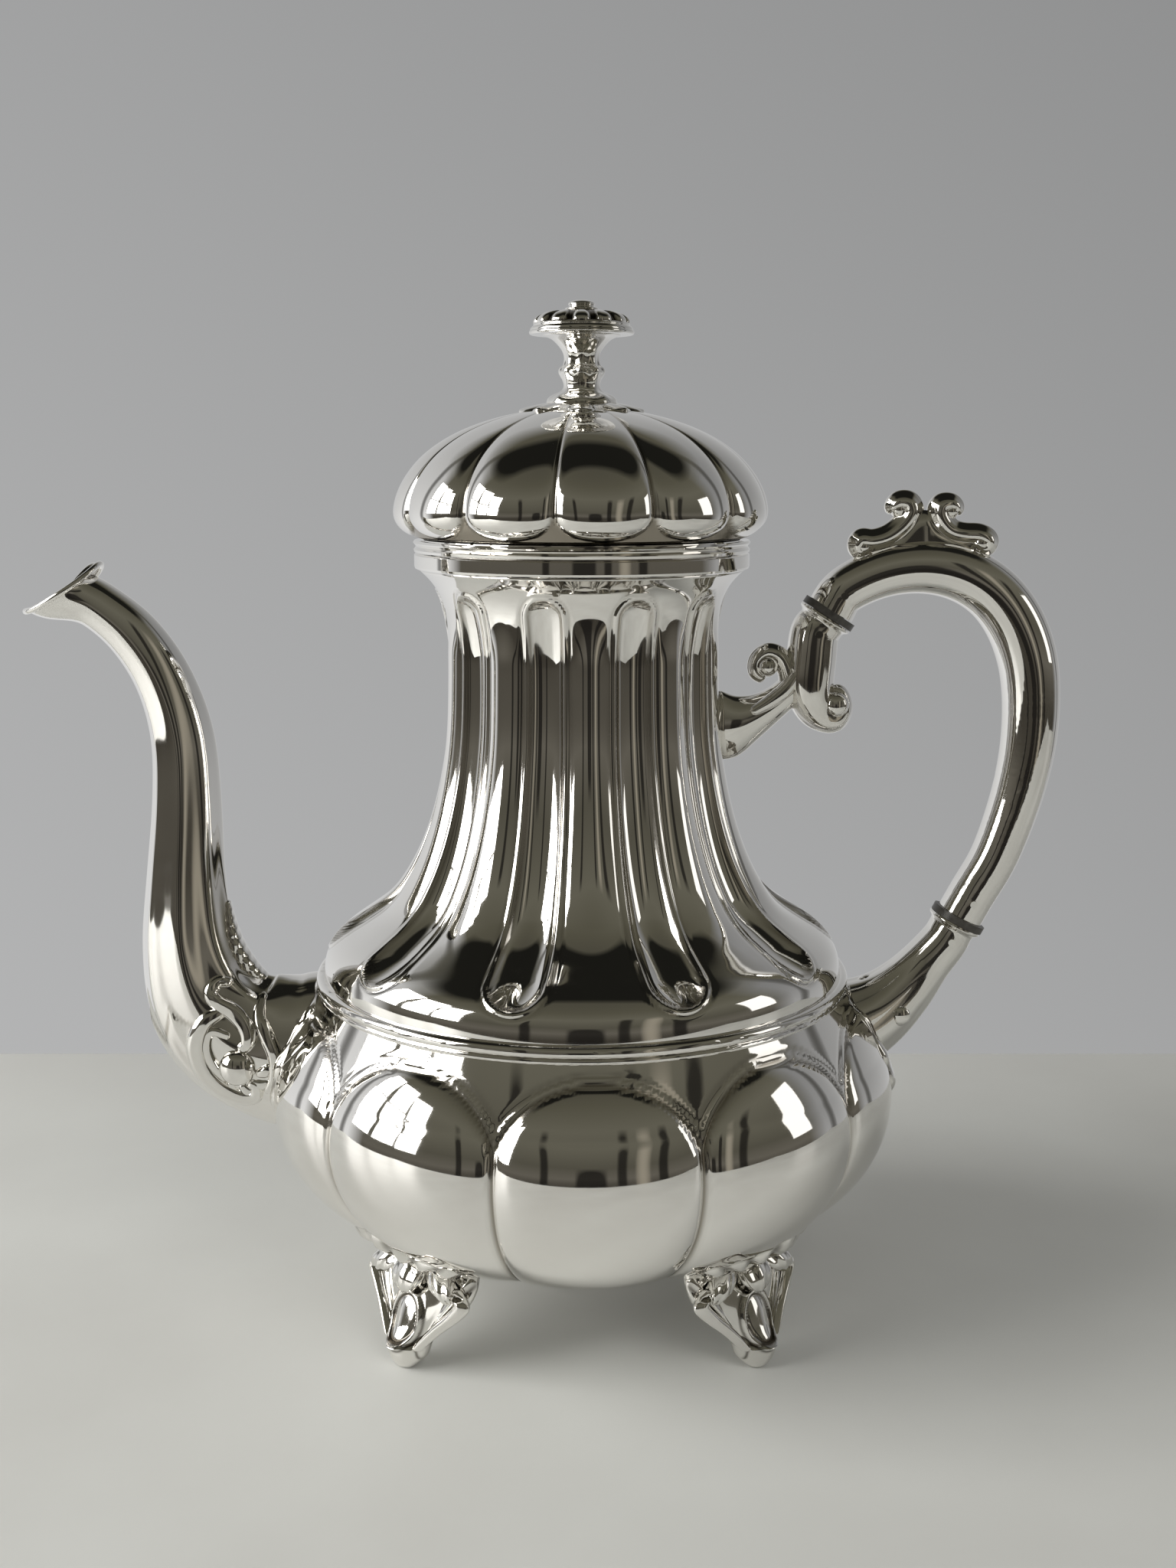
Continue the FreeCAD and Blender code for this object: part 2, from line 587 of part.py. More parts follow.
# ---- feet -----------------------------------------------------------------------
def leg_blank():
    """A cast foot along +X before it is fitted to the bowl, with a flat sole."""
    r = FOOT_R
    top = BOWL_FLOOR
    return tube([(r - 4.0, top + 26.0, 8.0, 9.0), (r - 2.0, top + 10.0, 10.0, 11.5), (r - 1.0, top + 1.5, 8.4, 9.8), (r + 0.4, 0.75 * top, 5.4, 7.6),
                (r + 1.0, 0.53 * top, 4.2, 6.4), (r + 1.2, 0.39 * top, 4.8, 6.8), (r + 1.2, 0.28 * top, 5.6, 7.2),
                (r + 0.8, 0.17 * top, 4.8, 5.8), (r + 0.2, 0.07 * top, 3.6, 4.2), (r, 0.0, 2.6, 3.0)], 24, 180.0)


def leaf_prism():
    """Upright prism with the outline of the leaf plate above a foot along +X."""
    outline = []
    for i in range(20):
        a = math.radians(18.0 * i)
        reach = 1.0 + 0.12 * math.cos(5 * a)
        outline.append(Vector(FOOT_R + 0.5 + 10.5 * reach * math.cos(a), 14.5 * reach * math.sin(a), 0))
    return Part.Face(Part.makePolygon(outline + [outline[0]])).extrude(Vector(0, 0, (BOWL_FLOOR + SHOULDER) / 2.0))


# ---- lid -----------------------------------------------------------------------
def lid_rim():
    """Stepped edge of the lid that sits over the band."""
    z = JOINT + LID_GAP
    return revolved([
        (BORE_R - 1.6, z), (RIM_R - 0.1, z), (RIM_R + 0.1, z + 0.6), (RIM_R - 0.5, z + 1.3),
        (RIM_R - 0.3, z + 1.6), (RIM_R + 0.2, z + 2.2), (RIM_R - 0.2, z + 2.9), (BORE_R - 1.6, z + 2.9)])


def lid_bezel():
    """Short sleeve that centres the lid in the mouth."""
    r, z = BORE_R - BEZEL_PLAY, JOINT + LID_GAP
    return revolved([(r - 1.0, z - BEZEL_H), (r - 0.3, z - BEZEL_H), (r, z - BEZEL_H + 0.6), (r, z), (r - 1.0, z)])


def lid_dome():
    inner = dome_solid(WALL)
    hole = cylinder(SCREW_R, Vector(0, 0, JOINT), Vector(0, 0, 1), DOME_H + 10.0)
    open_foot = cylinder(RIM_R - 2.0, Vector(0, 0, JOINT), Vector(0, 0, 1), dome_height(0.0) - JOINT + 1.5)
    return dome_solid().cut(inner).cut(open_foot).cut(hole)


def finial_leaf():
    """Flat rosette of leaves under the finial."""
    top = JOINT + DOME_H

    def strip(t, s):
        across = 2.0 * s - 1.0
        r = 14.8 * (0.80 + 0.20 * (1.0 - abs(across)) ** 0.6)
        rows = [(0, 0.62, -1.7, 0), (0.35, 1.0, -1.6, 0), (0.6, 1.0, -0.6, 0), (0.8, 0.8, 0.4, 0), (1, 0.5, 1.4, 0)]
        return r * smooth(rows, t, 1), 22.5 * across, top + smooth(rows, t, 2)

    plate = panelled([(strip, 7)], 8, spread(0.0, 1.0, 10), LID_TURN)
    return plate.cut(dome_solid()).cut(cylinder(SCREW_R, Vector(0, 0, JOINT), Vector(0, 0, 1), DOME_H + 20.0))


def cap_height():
    """Height of the underside of the finial's cap."""
    return JOINT + DOME_H + FINIAL_H - 7.8


def finial_stem():
    """Stem with its screw, turned in one piece."""
    z, top = JOINT + DOME_H, cap_height()
    return revolved([
        (0, z - 7.0), (SCREW_R, z - 7.0), (SCREW_R, z + 1.4), (7.7, z + 1.4), (7.9, z + 2.2), (6.0, z + 3.2), (4.6, z + 4.6),
        (4.1, z + 6.4), (4.1, top - 5.4), (5.0, top - 3.4), (7.4, top - 1.2), (9.6, top), (0, top)])


def finial_collar():
    """Bead round the middle of the stem."""
    z = JOINT + DOME_H + 0.48 * (FINIAL_H - 7.8)
    return Part.makeTorus(4.4, 0.9, Vector(0, 0, z)).cut(finial_stem())


def finial_cap():
    """Mushroom cap with petal panels."""
    z = cap_height()

    def strip(t, s):
        across = 2.0 * s - 1.0
        rows = [(0, 9.6, 0.0, 9.6), (0.25, 12.0, 0.1, 12.0), (0.4, 12.1, 1.4, 11.9), (0.55, 11.0, 2.9, 10.4),
                (0.75, 7.8, 4.6, 7.2), (1, 3.0, 5.6, 3.0)]
        crest, rise, crease = smooth(rows, t, 1), smooth(rows, t, 2), smooth(rows, t, 3)
        return crease + (crest - crease) * math.sqrt(max(0.0, 1.0 - across ** 2)), 15.0 * across, z + rise

    return panelled([(strip, 7)], 12, spread(0.0, 1.0, 14), 15.0)


def finial_button():
    z = JOINT + DOME_H + FINIAL_H
    sphere = Part.makeSphere(3.4, Vector(0, 0, z - 3.4))
    return sphere.cut(finial_cap())


def finial_washer():
    z = JOINT + DOME_H - WALL
    return revolved([(SCREW_R, z - 1.2), (6.5, z - 1.2), (6.5, z - 0.1), (SCREW_R, z - 0.1)])


def finial_nut():
    z = JOINT + DOME_H - WALL - 1.2
    corners = [Vector(4.6 * math.cos(math.radians(60 * i)), 4.6 * math.sin(math.radians(60 * i)), z - 3.6)
               for i in range(7)]
    block = Part.Face(Part.makePolygon(corners)).extrude(Vector(0, 0, 3.6))
    return block.cut(cylinder(SCREW_R, Vector(0, 0, z - 5.0), Vector(0, 0, 1), 8.0))


# ---- all pieces -------------------------------------------------------------------
def pot_pieces():
    bowl, neck, grip = bowl_solid(), neck_solid(), grip_solid()
    raised, spout = bowl_solid(-LEAF_T), spout_blank()
    flare, column = split_at(neck.cut(neck_solid(WALL)), NECK_SEAM)
    spout_low, spout_high = split_at(spout_tube(spout, bowl), SPOUT_SEAM)
    upper_pins, lower_pins = pins(UPPER_DISC, UPPER_RUN), pins(LOWER_DISC, LOWER_RUN)
    sleeve, socket = upper_socket(), lower_socket(bowl)
    wire = shoulder_wire().cut(bowl).cut(neck).cut(spout)
    scroll, strip = spout_scroll().cut(spout), spout_leaf().cut(spout)
    spout_patch = skin_patch(raised, bowl, -FLOOR_R - 26.0, level(-0.29, 0.0), 17.0, 22.0)
    handle_patch = skin_patch(raised, bowl, FLOOR_R + 26.0, level(-0.26, 0.0), 14.0, 15.0)
    pieces = {
        "bowl": bowl_piece(bowl),
        "bottom_plate": bottom_plate().cut(bowl),
        "neck_flare": flare,
        "neck_column": column,
        "shoulder_wire": wire,
        "rim_band": rim_band(),
        "spout_lower": spout_low,
        "spout_upper": spout_high,
        "spout_lip_wire": spout_lip_wire(),
        "spout_collar": spout_patch.cut(spout).cut(neck).cut(wire),
        "spout_scroll_front": scroll,
        "spout_scroll_back": mirrored(scroll),
        "spout_leaf": strip,
        "handle_grip": drilled(bored(bored(grip, UPPER_DISC, UPPER_RUN), LOWER_DISC, LOWER_RUN),
                               upper_pins + lower_pins),
        "handle_upper_insulator": drilled(insulator(UPPER_DISC, UPPER_RUN), upper_pins),
        "handle_lower_insulator": drilled(insulator(LOWER_DISC, LOWER_RUN), lower_pins),
        "handle_upper_socket": drilled(bored(sleeve, UPPER_DISC, UPPER_RUN), upper_pins),
        "handle_upper_bracket": upper_bracket(neck).cut(sleeve),
        "handle_lower_socket": drilled(bored(socket, LOWER_DISC, LOWER_RUN), lower_pins),
        "handle_collar": handle_patch.cut(socket).cut(neck).cut(wire),
        "handle_thumb_scroll": thumb_scroll(grip),
        "handle_upper_pins": Part.makeCompound(upper_pins),
        "handle_lower_pins": Part.makeCompound(lower_pins),
    }
    for name, turn in (("front_right", -FOOT_TURN), ("back_right", FOOT_TURN),
                       ("back_left", 180.0 - FOOT_TURN), ("front_left", 180.0 + FOOT_TURN)):
        leg = turned(leg_blank(), turn).cut(bowl)
        pieces["foot_" + name] = leg
        pieces["foot_leaf_" + name] = raised.common(turned(leaf_prism(), turn)).cut(bowl).cut(leg)
    return pieces


def lid_pieces():
    dome = lid_dome()
    return {
        "lid_rim": lid_rim().cut(dome),
        "lid_bezel": lid_bezel(),
        "lid_dome": dome,
        "finial_leaf": finial_leaf(),
        "finial_stem": finial_stem(),
        "finial_collar": finial_collar(),
        "finial_cap": finial_cap(),
        "finial_button": finial_button(),
        "finial_washer": finial_washer(),
        "finial_nut": finial_nut(),
    }


def save(name, shape):
    """Write one piece where it belongs in the pot."""
    placed = shape.copy()
    placed.translate(Vector(AXIS_X, 0, 0))
    placed.exportStep("parts/" + name + ".step")
    box = placed.BoundBox
    print(name, len(placed.Solids), placed.isValid(), round(placed.Volume), [
        round(v, 1) for v in (box.XMin, box.YMin, box.ZMin, box.XMax, box.YMax, box.ZMax)])


os.makedirs("parts", exist_ok=True)
for group in (pot_pieces(), lid_pieces()):
    for name, shape in group.items():
        save(name, shape)
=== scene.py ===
# %% [markdown]
# # A lobed silver coffee pot
# The engineering model gives every piece its place and size. This lesson dresses it: the sheet
# metal with its pillowed lobes and hollow flutes, the cast scrolls and feet, and a mirror polish.
# Everything is worked out as whole numpy arrays, because a mirror shows each dent of a surface and
# a formula has none. We start by loading the fixed frame, with a way to measure any node's box.

# %% Load the frame
import bpy
import bmesh
import numpy as np
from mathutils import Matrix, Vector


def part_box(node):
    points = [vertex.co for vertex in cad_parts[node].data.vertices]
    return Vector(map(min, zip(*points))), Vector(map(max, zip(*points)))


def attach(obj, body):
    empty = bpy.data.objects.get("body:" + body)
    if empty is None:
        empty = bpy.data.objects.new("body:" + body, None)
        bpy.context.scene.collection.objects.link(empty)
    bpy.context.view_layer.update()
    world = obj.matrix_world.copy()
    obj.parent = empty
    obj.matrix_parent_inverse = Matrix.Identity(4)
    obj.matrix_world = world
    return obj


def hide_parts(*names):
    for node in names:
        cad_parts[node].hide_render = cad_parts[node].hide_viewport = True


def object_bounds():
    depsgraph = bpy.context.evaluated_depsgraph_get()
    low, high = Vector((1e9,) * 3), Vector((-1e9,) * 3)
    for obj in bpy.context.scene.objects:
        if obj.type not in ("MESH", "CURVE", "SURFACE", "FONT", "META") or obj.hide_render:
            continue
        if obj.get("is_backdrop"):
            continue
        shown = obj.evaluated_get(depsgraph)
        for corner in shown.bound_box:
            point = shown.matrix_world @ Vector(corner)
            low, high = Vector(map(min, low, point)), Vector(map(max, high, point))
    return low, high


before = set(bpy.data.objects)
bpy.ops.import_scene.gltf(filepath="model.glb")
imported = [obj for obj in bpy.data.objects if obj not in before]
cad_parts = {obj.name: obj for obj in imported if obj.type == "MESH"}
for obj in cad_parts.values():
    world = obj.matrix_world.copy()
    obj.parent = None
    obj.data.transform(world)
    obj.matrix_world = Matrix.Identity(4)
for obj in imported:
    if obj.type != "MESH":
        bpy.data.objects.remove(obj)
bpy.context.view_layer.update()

# %% [markdown]
# The pot's own upright axis isn't the middle of its box, because the spout reaches further than
# the handle. The bowl is round, so the middle of its box is the axis. Shapes are drawn in
# millimetres about that axis and scaled to metres as they go into a mesh.

# %% The pot's axis
MM = 0.001
low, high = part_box("bowl")
AXIS = np.array([(low[0] + high[0]) / 2.0 / MM, 0.0, 0.0])
print("axis at x =", round(float(AXIS[0]), 2), "mm")

# %% [markdown]
# Three small rules come back in every shape: a share held between 0 and 1, a bell curve for a fine
# line, and even steps round a circle. A listed curve has few points. Two steps make it fair:
# an eased curve through the rows, then an even B-spline that rounds off what is left and keeps
# both ends where they are.

# %% Fair curves
def unit(values):
    """Values held between 0 and 1."""
    return np.clip(values, 0, 1)


def bell(values, middle, width):
    """Bell curve: e to the power minus the square of the distance to the middle over the width."""
    return np.exp(-((values - middle) / width) ** 2)


def steps_round(count):
    """Angles of even steps once round a circle, without the last, which is the first again."""
    return np.linspace(0.0, 2 * np.pi, count, endpoint=False)


def eased(rows, t):
    """Columns of a table at t. Between two rows each value is a cubic, and its slope at a row is
    the slope from the row before to the row after."""
    rows = np.asarray(rows, float)
    ts, vs = rows[:, 0], rows[:, 1:]
    before = np.maximum(np.arange(len(ts)) - 1, 0)
    after = np.minimum(np.arange(len(ts)) + 1, len(ts) - 1)
    slope = (vs[after] - vs[before]) / (ts[after] - ts[before])[:, None]
    t = np.clip(np.asarray(t, float), ts[0], ts[-1])
    i = np.clip(np.searchsorted(ts, t, side="right") - 1, 0, len(ts) - 2)
    h = (ts[i + 1] - ts[i])[:, None]
    s = (t - ts[i])[:, None] / h
    return ((2 * s + 1) * (1 - s) ** 2 * vs[i] + s * (1 - s) ** 2 * h * slope[i]
            + s * s * (3 - 2 * s) * vs[i + 1] - s * s * (1 - s) * h * slope[i + 1])


def fair(values, count):
    """Even B-spline of the rows of values at count steps: each point is the mean of four rows
    weighted 1-4-1 about the nearest ones. A mirrored row at each end holds the ends in place."""
    v = np.asarray(values, float)
    v = np.concatenate([2 * v[:1] - v[1:2], v, 2 * v[-1:] - v[-2:-1]])
    t = np.linspace(0.0, len(v) - 3 - 1e-9, count)
    i = t.astype(int)
    u = (t - i)[:, None]
    weights = [(1 - u) ** 3 / 6, (3 * u ** 3 - 6 * u ** 2 + 4) / 6,
               (-3 * u ** 3 + 3 * u ** 2 + 3 * u + 1) / 6, u ** 3 / 6]
    return sum(weights[k] * v[i + k] for k in range(4))


def drawn(rows, count, poles=26):
    """A table whose first column runs from 0 to 1, made fair at count steps."""
    return fair(eased(rows, np.linspace(0.0, 1.0, poles)), count)


print("fair curve check:", fair([[0.0], [1.0], [4.0]], 3).ravel())

# %% [markdown]
# A surface is a grid of points. Neighbours become four-sided faces; a ring can close on itself
# both ways, and a fan of triangles closes a pole. Every vertex also carries a number called
# hollow, from 0 on open metal to 1 in a crevice, which the finish uses to keep polish out of it.

# %% Grids into meshes
def faces_of(grid, wrap_u=False, wrap_v=True, caps=(True, True)):
    """Points, quads and triangles of a grid: quad (u, v) joins point (u, v) to the next along v,
    then the next along u; a cap joins the ring at an end to its own middle."""
    nu, nv = grid.shape[:2]
    index = np.arange(nu * nv).reshape(nu, nv)
    if wrap_v:
        index = np.concatenate([index, index[:, :1]], axis=1)
    if wrap_u:
        index = np.concatenate([index, index[:1]], axis=0)
    quads = np.stack([index[:-1, :-1], index[:-1, 1:], index[1:, 1:], index[1:, :-1]], axis=-1)
    points, fans = grid.reshape(-1, 3), []
    for end, wanted in ((0, caps[0]), (-1, caps[1])):
        if wanted and not wrap_u:
            ring = index[end]
            middle = np.full(len(ring) - 1, len(points))
            points = np.concatenate([points, grid[end].mean(axis=0)[None]])
            fans.append(np.stack([middle, ring[1:], ring[:-1]] if end == 0 else
                                 [middle, ring[:-1], ring[1:]], axis=-1))
    return points, quads.reshape(-1, 4), np.concatenate(fans) if fans else np.zeros((0, 3), int)


def patch(grid, wrap_u=False, wrap_v=True, caps=(True, True), hollow=0.0):
    """A closed patch ready to be joined with others into one piece."""
    points, quads, fans = faces_of(grid, wrap_u, wrap_v, caps)
    shade = np.zeros(len(points))
    size = grid.shape[0] * grid.shape[1]
    shade[:size] = np.broadcast_to(hollow, grid.shape[:2]).reshape(-1)
    return points, quads, fans, shade


def join(patches):
    """Several patches as one set of points, quads, triangles and shades, renumbered in a row."""
    starts = np.cumsum([0] + [len(p[0]) for p in patches[:-1]])
    return (np.concatenate([p[0] for p in patches]),
            np.concatenate([p[1] + s for p, s in zip(patches, starts)]),
            np.concatenate([p[2] + s for p, s in zip(patches, starts)]),
            np.concatenate([p[3] for p in patches]))


print("cap test:", [len(x) for x in faces_of(np.zeros((3, 4, 3)))])

# %% [markdown]
# One function turns joined patches into a finished piece: the mesh, its smooth shading, its
# material, the body it rides on and the engineering nodes it stands for. Normals are worked out
# again on the closed shells, so that no grid drawn the other way round is inside out.

# %% Pieces
def make_piece(name, patches, body, stands_for, finish):
    """Mesh in metres about the frame's origin from patches in millimetres about the pot's axis."""
    points, quads, fans, shade = join(patches)
    mesh = bpy.data.meshes.new(name)
    loops = np.concatenate([quads.reshape(-1), fans.reshape(-1)]).astype(np.int32)
    sizes = np.concatenate([np.full(len(quads), 4), np.full(len(fans), 3)]).astype(np.int32)
    mesh.vertices.add(len(points))
    mesh.vertices.foreach_set("co", ((points + AXIS) * MM).astype(np.float32).reshape(-1))
    mesh.loops.add(len(loops))
    mesh.loops.foreach_set("vertex_index", loops)
    mesh.polygons.add(len(sizes))
    starts = np.concatenate([[0], np.cumsum(sizes)[:-1]]).astype(np.int32)
    mesh.polygons.foreach_set("loop_start", starts)
    mesh.update(calc_edges=True)
    mesh.validate()
    layer = mesh.attributes.new("hollow", "FLOAT", "POINT")
    layer.data.foreach_set("value", shade.astype(np.float32))
    work = bmesh.new()
    work.from_mesh(mesh)
    bmesh.ops.recalc_face_normals(work, faces=work.faces)
    work.to_mesh(mesh)
    work.free()
    mesh.polygons.foreach_set("use_smooth", np.ones(len(mesh.polygons), bool))
    piece = bpy.data.objects.new(name, mesh)
    bpy.context.scene.collection.objects.link(piece)
    mesh.materials.append(finish)
    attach(piece, body)
    if stands_for:
        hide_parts(*stands_for)
    print(name, len(mesh.vertices), "points", len(quads) * 2 + len(fans), "triangles")


# %% [markdown]
# All finishes start alike: a shader, a noise on Object coordinates, and a way to turn that noise
# into a roughness or a colour. Object coordinates stay with the metal when the lid is lifted.

# %% Tools for finishes
def new_finish(name):
    """A material, its nodes, links and shader, and Object coordinates to draw patterns on."""
    finish = bpy.data.materials.new(name)
    finish.use_nodes = True
    nodes, links = finish.node_tree.nodes, finish.node_tree.links
    where = nodes.new("ShaderNodeTexCoord").outputs["Object"]
    return finish, nodes, links, nodes["Principled BSDF"], where


def noise(nodes, links, where, scale, detail=2.0):
    """Output of a noise with so many cells to a metre and so many finer layers."""
    node = nodes.new("ShaderNodeTexNoise")
    node.inputs["Scale"].default_value = scale
    node.inputs["Detail"].default_value = detail
    links.new(where, node.inputs["Vector"])
    return node.outputs["Fac"]


def spread(nodes, links, value, low, high, start=0.0, end=1.0):
    """A value between start and end, mapped in a straight line onto low to high."""
    node = nodes.new("ShaderNodeMapRange")
    for key, number in (("From Min", start), ("From Max", end), ("To Min", low), ("To Max", high)):
        node.inputs[key].default_value = number
    links.new(value, node.inputs["Value"])
    return node.outputs["Result"]


def two_tones(nodes, links, value, one, other, start=0.0, end=1.0):
    """Colour that goes from one to the other while a value goes from start to end."""
    ramp = nodes.new("ShaderNodeValToRGB")
    for stop, place, colour in zip(ramp.color_ramp.elements, (start, end), (one, other)):
        stop.position, stop.color = place, (*colour, 1.0)
    links.new(value, ramp.inputs["Fac"])
    return ramp.outputs["Color"]


print("tools for finishes ready")

# %% [markdown]
# Silver plate is a mirror with a faint warm cast. It isn't perfect: the polish varies a little
# from place to place, fine wiping marks catch the light, and dark polish residue stays in crevices.
# All of that is nodes: noise on Object coordinates for the wiping and haze, and the hollow number
# for the residue. Numbers that are the same all over are set on the shader's own sockets.

# %% The silver finish
CLOUDS, GRAINS, WIPES = 38.0, 260.0, 1400.0      # noise cells to a metre
CLOUD_SHARE, HOLLOW_DULLS = 0.10, 0.16           # tarnish on open metal; roughness in a crevice


def silver(name, light, dark, polish, haze, swirl):
    """Mirror metal: colour goes from light to dark with the hollow number and a large soft noise,
    roughness is polish plus haze times a noise, and a fine noise gives wiping marks of height
    swirl, in metres."""
    finish, nodes, links, shader, where = new_finish(name)
    shader.inputs["Metallic"].default_value = 1.0
    hollow = nodes.new("ShaderNodeAttribute")
    hollow.attribute_name = "hollow"

    residue = nodes.new("ShaderNodeMath")
    residue.operation, residue.use_clamp = "MULTIPLY_ADD", True
    links.new(noise(nodes, links, where, CLOUDS, 4.0), residue.inputs[0])
    residue.inputs[1].default_value = CLOUD_SHARE
    links.new(hollow.outputs["Fac"], residue.inputs[2])
    tone = nodes.new("ShaderNodeMix")
    tone.data_type = "RGBA"
    tone.inputs["A"].default_value = (*light, 1.0)
    tone.inputs["B"].default_value = (*dark, 1.0)
    links.new(residue.outputs[0], tone.inputs["Factor"])
    links.new(tone.outputs["Result"], shader.inputs["Base Color"])

    grain = noise(nodes, links, where, GRAINS, 6.0)
    dull = nodes.new("ShaderNodeMath")
    dull.operation = "MULTIPLY_ADD"
    links.new(hollow.outputs["Fac"], dull.inputs[0])
    dull.inputs[1].default_value = HOLLOW_DULLS
    links.new(spread(nodes, links, grain, polish, polish + haze, 0.3, 0.8), dull.inputs[2])
    links.new(dull.outputs[0], shader.inputs["Roughness"])

    turn = nodes.new("ShaderNodeMapping")
    turn.inputs["Rotation"].default_value = (0.4, 0.2, 0.7)
    turn.inputs["Scale"].default_value = (1.0, 1.0, 0.12)
    links.new(where, turn.inputs["Vector"])
    bump = nodes.new("ShaderNodeBump")
    bump.inputs["Strength"].default_value = 0.35
    bump.inputs["Distance"].default_value = swirl
    links.new(noise(nodes, links, turn.outputs["Vector"], WIPES, 3.0), bump.inputs["Height"])
    links.new(bump.outputs["Normal"], shader.inputs["Normal"])
    return finish


TARNISH, BLACKING = (0.30, 0.27, 0.22), (0.10, 0.085, 0.065)
SHEET = silver("silver_sheet", (0.93, 0.915, 0.885), TARNISH, 0.035, 0.030, 0.0000020)
CAST = silver("silver_cast", (0.90, 0.885, 0.85), BLACKING, 0.045, 0.045, 0.0000060)
SATIN = silver("silver_satin", (0.82, 0.80, 0.76), TARNISH, 0.220, 0.080, 0.0000100)
print("finishes:", SHEET.name, CAST.name, SATIN.name)

# %% [markdown]
# The handle is parted from the hot pot by two thin discs of a hard dark fibre. Pressed fibre has
# fine flecks and a low sheen, so its colour and roughness both come from noise.

# %% The insulating fibre
def fibre(name):
    """Dark pressed fibre: one fine noise mixes its two greys and sets its sheen."""
    finish, nodes, links, shader, where = new_finish(name)
    fleck = noise(nodes, links, where, 900.0)
    flecked = two_tones(nodes, links, fleck, (0.025, 0.023, 0.020), (0.09, 0.085, 0.075))
    links.new(flecked, shader.inputs["Base Color"])
    links.new(spread(nodes, links, fleck, 0.28, 0.5), shader.inputs["Roughness"])
    return finish


FIBRE = fibre("insulating_fibre")
print("finish:", FIBRE.name)

# %% [markdown]
# The engineering nodes that are already right, such as the turned bands, keep their meshes and
# only get a finish. Whatever is replaced later is hidden then. This is a table of name to finish.

# %% Finishes on the engineering nodes
satin_nodes = {"bottom_plate", "lid_bezel", "finial_washer", "finial_nut"}
for name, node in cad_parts.items():
    finish = FIBRE if "insulator" in name else SATIN if name in satin_nodes else \
        SHEET if name in ("rim_band", "lid_rim", "handle_grip", "shoulder_wire") else CAST
    if not node.data.materials:
        node.data.materials.append(finish)
    for s in node.material_slots:
        s.material = finish
print("dressed", len(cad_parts), "nodes")

# %% [markdown]
# The bowl is raised from sheet into ten pillowed lobes, each with a round arched top under a
# smooth shoulder. The shape is a plain round wall plus a pillow: how far a point is inside a
# lobe's outline, from 0 at the edge to 1 in the middle, says how high the pillow stands there.
# A thin raised line runs round each arch, as the chasing tool leaves it.

# %% The bowl
FLOOR, FLOOR_R, SHOULDER, SHOULDER_R, BOWL_R = 19.6, 33.8, 85.0, 64.5, 78.4
WALL = 1.2
LOBES, LOBE_TURN = 10, 3.0           # lobes round the bowl, and how far the front one is turned
HALF_LOBE = 180.0 / LOBES            # degrees from a crest to a crease
ARCH_FOOT, ARCH_TOP = 60.5, 78.5     # heights where the arches spring, and where they end
CREASE, ARCH_CREASE = 4.0, 3.5       # depth between the lobes, and at least this much at an arch
bowl_rows = [
    (0.00, 0.000, 1.000, 0.000, 0.00), (0.10, 0.020, 0.833, 0.000, 0.20),
    (0.20, 0.055, 0.658, 0.000, 0.48), (0.30, 0.105, 0.473, 0.000, 0.80),
    (0.40, 0.180, 0.299, 0.000, 1.05), (0.50, 0.280, 0.154, 0.000, 1.05),
    (0.60, 0.405, 0.049, 0.000, 0.98), (0.70, 0.540, 0.004, 0.000, 0.95),
    (0.80, 0.660, 0.000, 0.057, 0.98), (0.88, 0.770, 0.000, 0.250, 0.85),
    (0.94, 0.880, 0.000, 0.640, 0.25), (1.00, 1.000, 0.000, 1.000, 0.00)]


def round_points(radius, angle, height):
    """Point at radius and angle from the front, towards the handle, at height."""
    radius, angle, height = np.broadcast_arrays(radius, angle, height)
    return np.stack([radius * np.sin(angle), -radius * np.cos(angle), height], axis=-1)


def path_length(radius, height):
    """Length along a profile, adding up its short straight steps."""
    return np.concatenate([[0.0], np.cumsum(np.hypot(np.diff(radius), np.diff(height)))])


def bowl_profile(count):
    """Crest radius, height and crease depth (mm) from the floor to the shoulder."""
    h, at_floor, at_shoulder, crease = drawn(bowl_rows, count).T
    crest = at_floor * FLOOR_R + at_shoulder * SHOULDER_R + (1 - at_floor - at_shoulder) * BOWL_R
    return crest, FLOOR + (SHOULDER - FLOOR) * h, CREASE * crease


def across_lobe(angle):
    """Place across a lobe: -1 at one crease, 0 at the crest, 1 at the next crease."""
    return (np.degrees(angle) - LOBE_TURN + HALF_LOBE) % (2 * HALF_LOBE) / HALF_LOBE - 1.0


def pillow_at(inside):
    """Height of the pillow, 0 to 1: a quarter circle, (1 - (1 - inside)^2), to the power 0.55."""
    return unit(1.0 - (1.0 - unit(inside)) ** 2) ** 0.55


def bowl_surface(angle, rows):
    """(radius, height, hollow) of the lobed wall on a grid of rows by angles. Inside is one minus
    the distance to the lobe's middle line, which ends where the arch springs. The chased line and
    the dips beside it are bell curves of the distance to the outline."""
    crest, z, crease = bowl_profile(rows)
    base = (crest - crease)[:, None]
    s = path_length(crest - crease, z)
    foot, top = s[np.searchsorted(z, ARCH_FOOT)], s[np.searchsorted(z, ARCH_TOP)]
    up = np.clip((s[:, None] - foot) / (top - foot), 0.0, None)
    inside = 1.0 - np.hypot(across_lobe(angle)[None, :], up)
    lobe = np.where(s > foot, np.maximum(crease, ARCH_CREASE), crease)[:, None]
    fade = unit((s[:, None] - foot + 6.0) / 10.0)
    near = inside * base * np.radians(HALF_LOBE)
    dips = 0.35 * bell(near, -0.1, 0.5) + 0.30 * bell(near, -2.3, 0.5)
    line = 0.45 * bell(near, -1.1, 0.55) - dips
    shade = bell(near, 0.0, 0.6) * unit(lobe / 3.0) + 0.5 * fade * bell(near, -2.3, 0.4)
    return base + lobe * pillow_at(inside) + line * fade, z[:, None], unit(0.9 * shade)


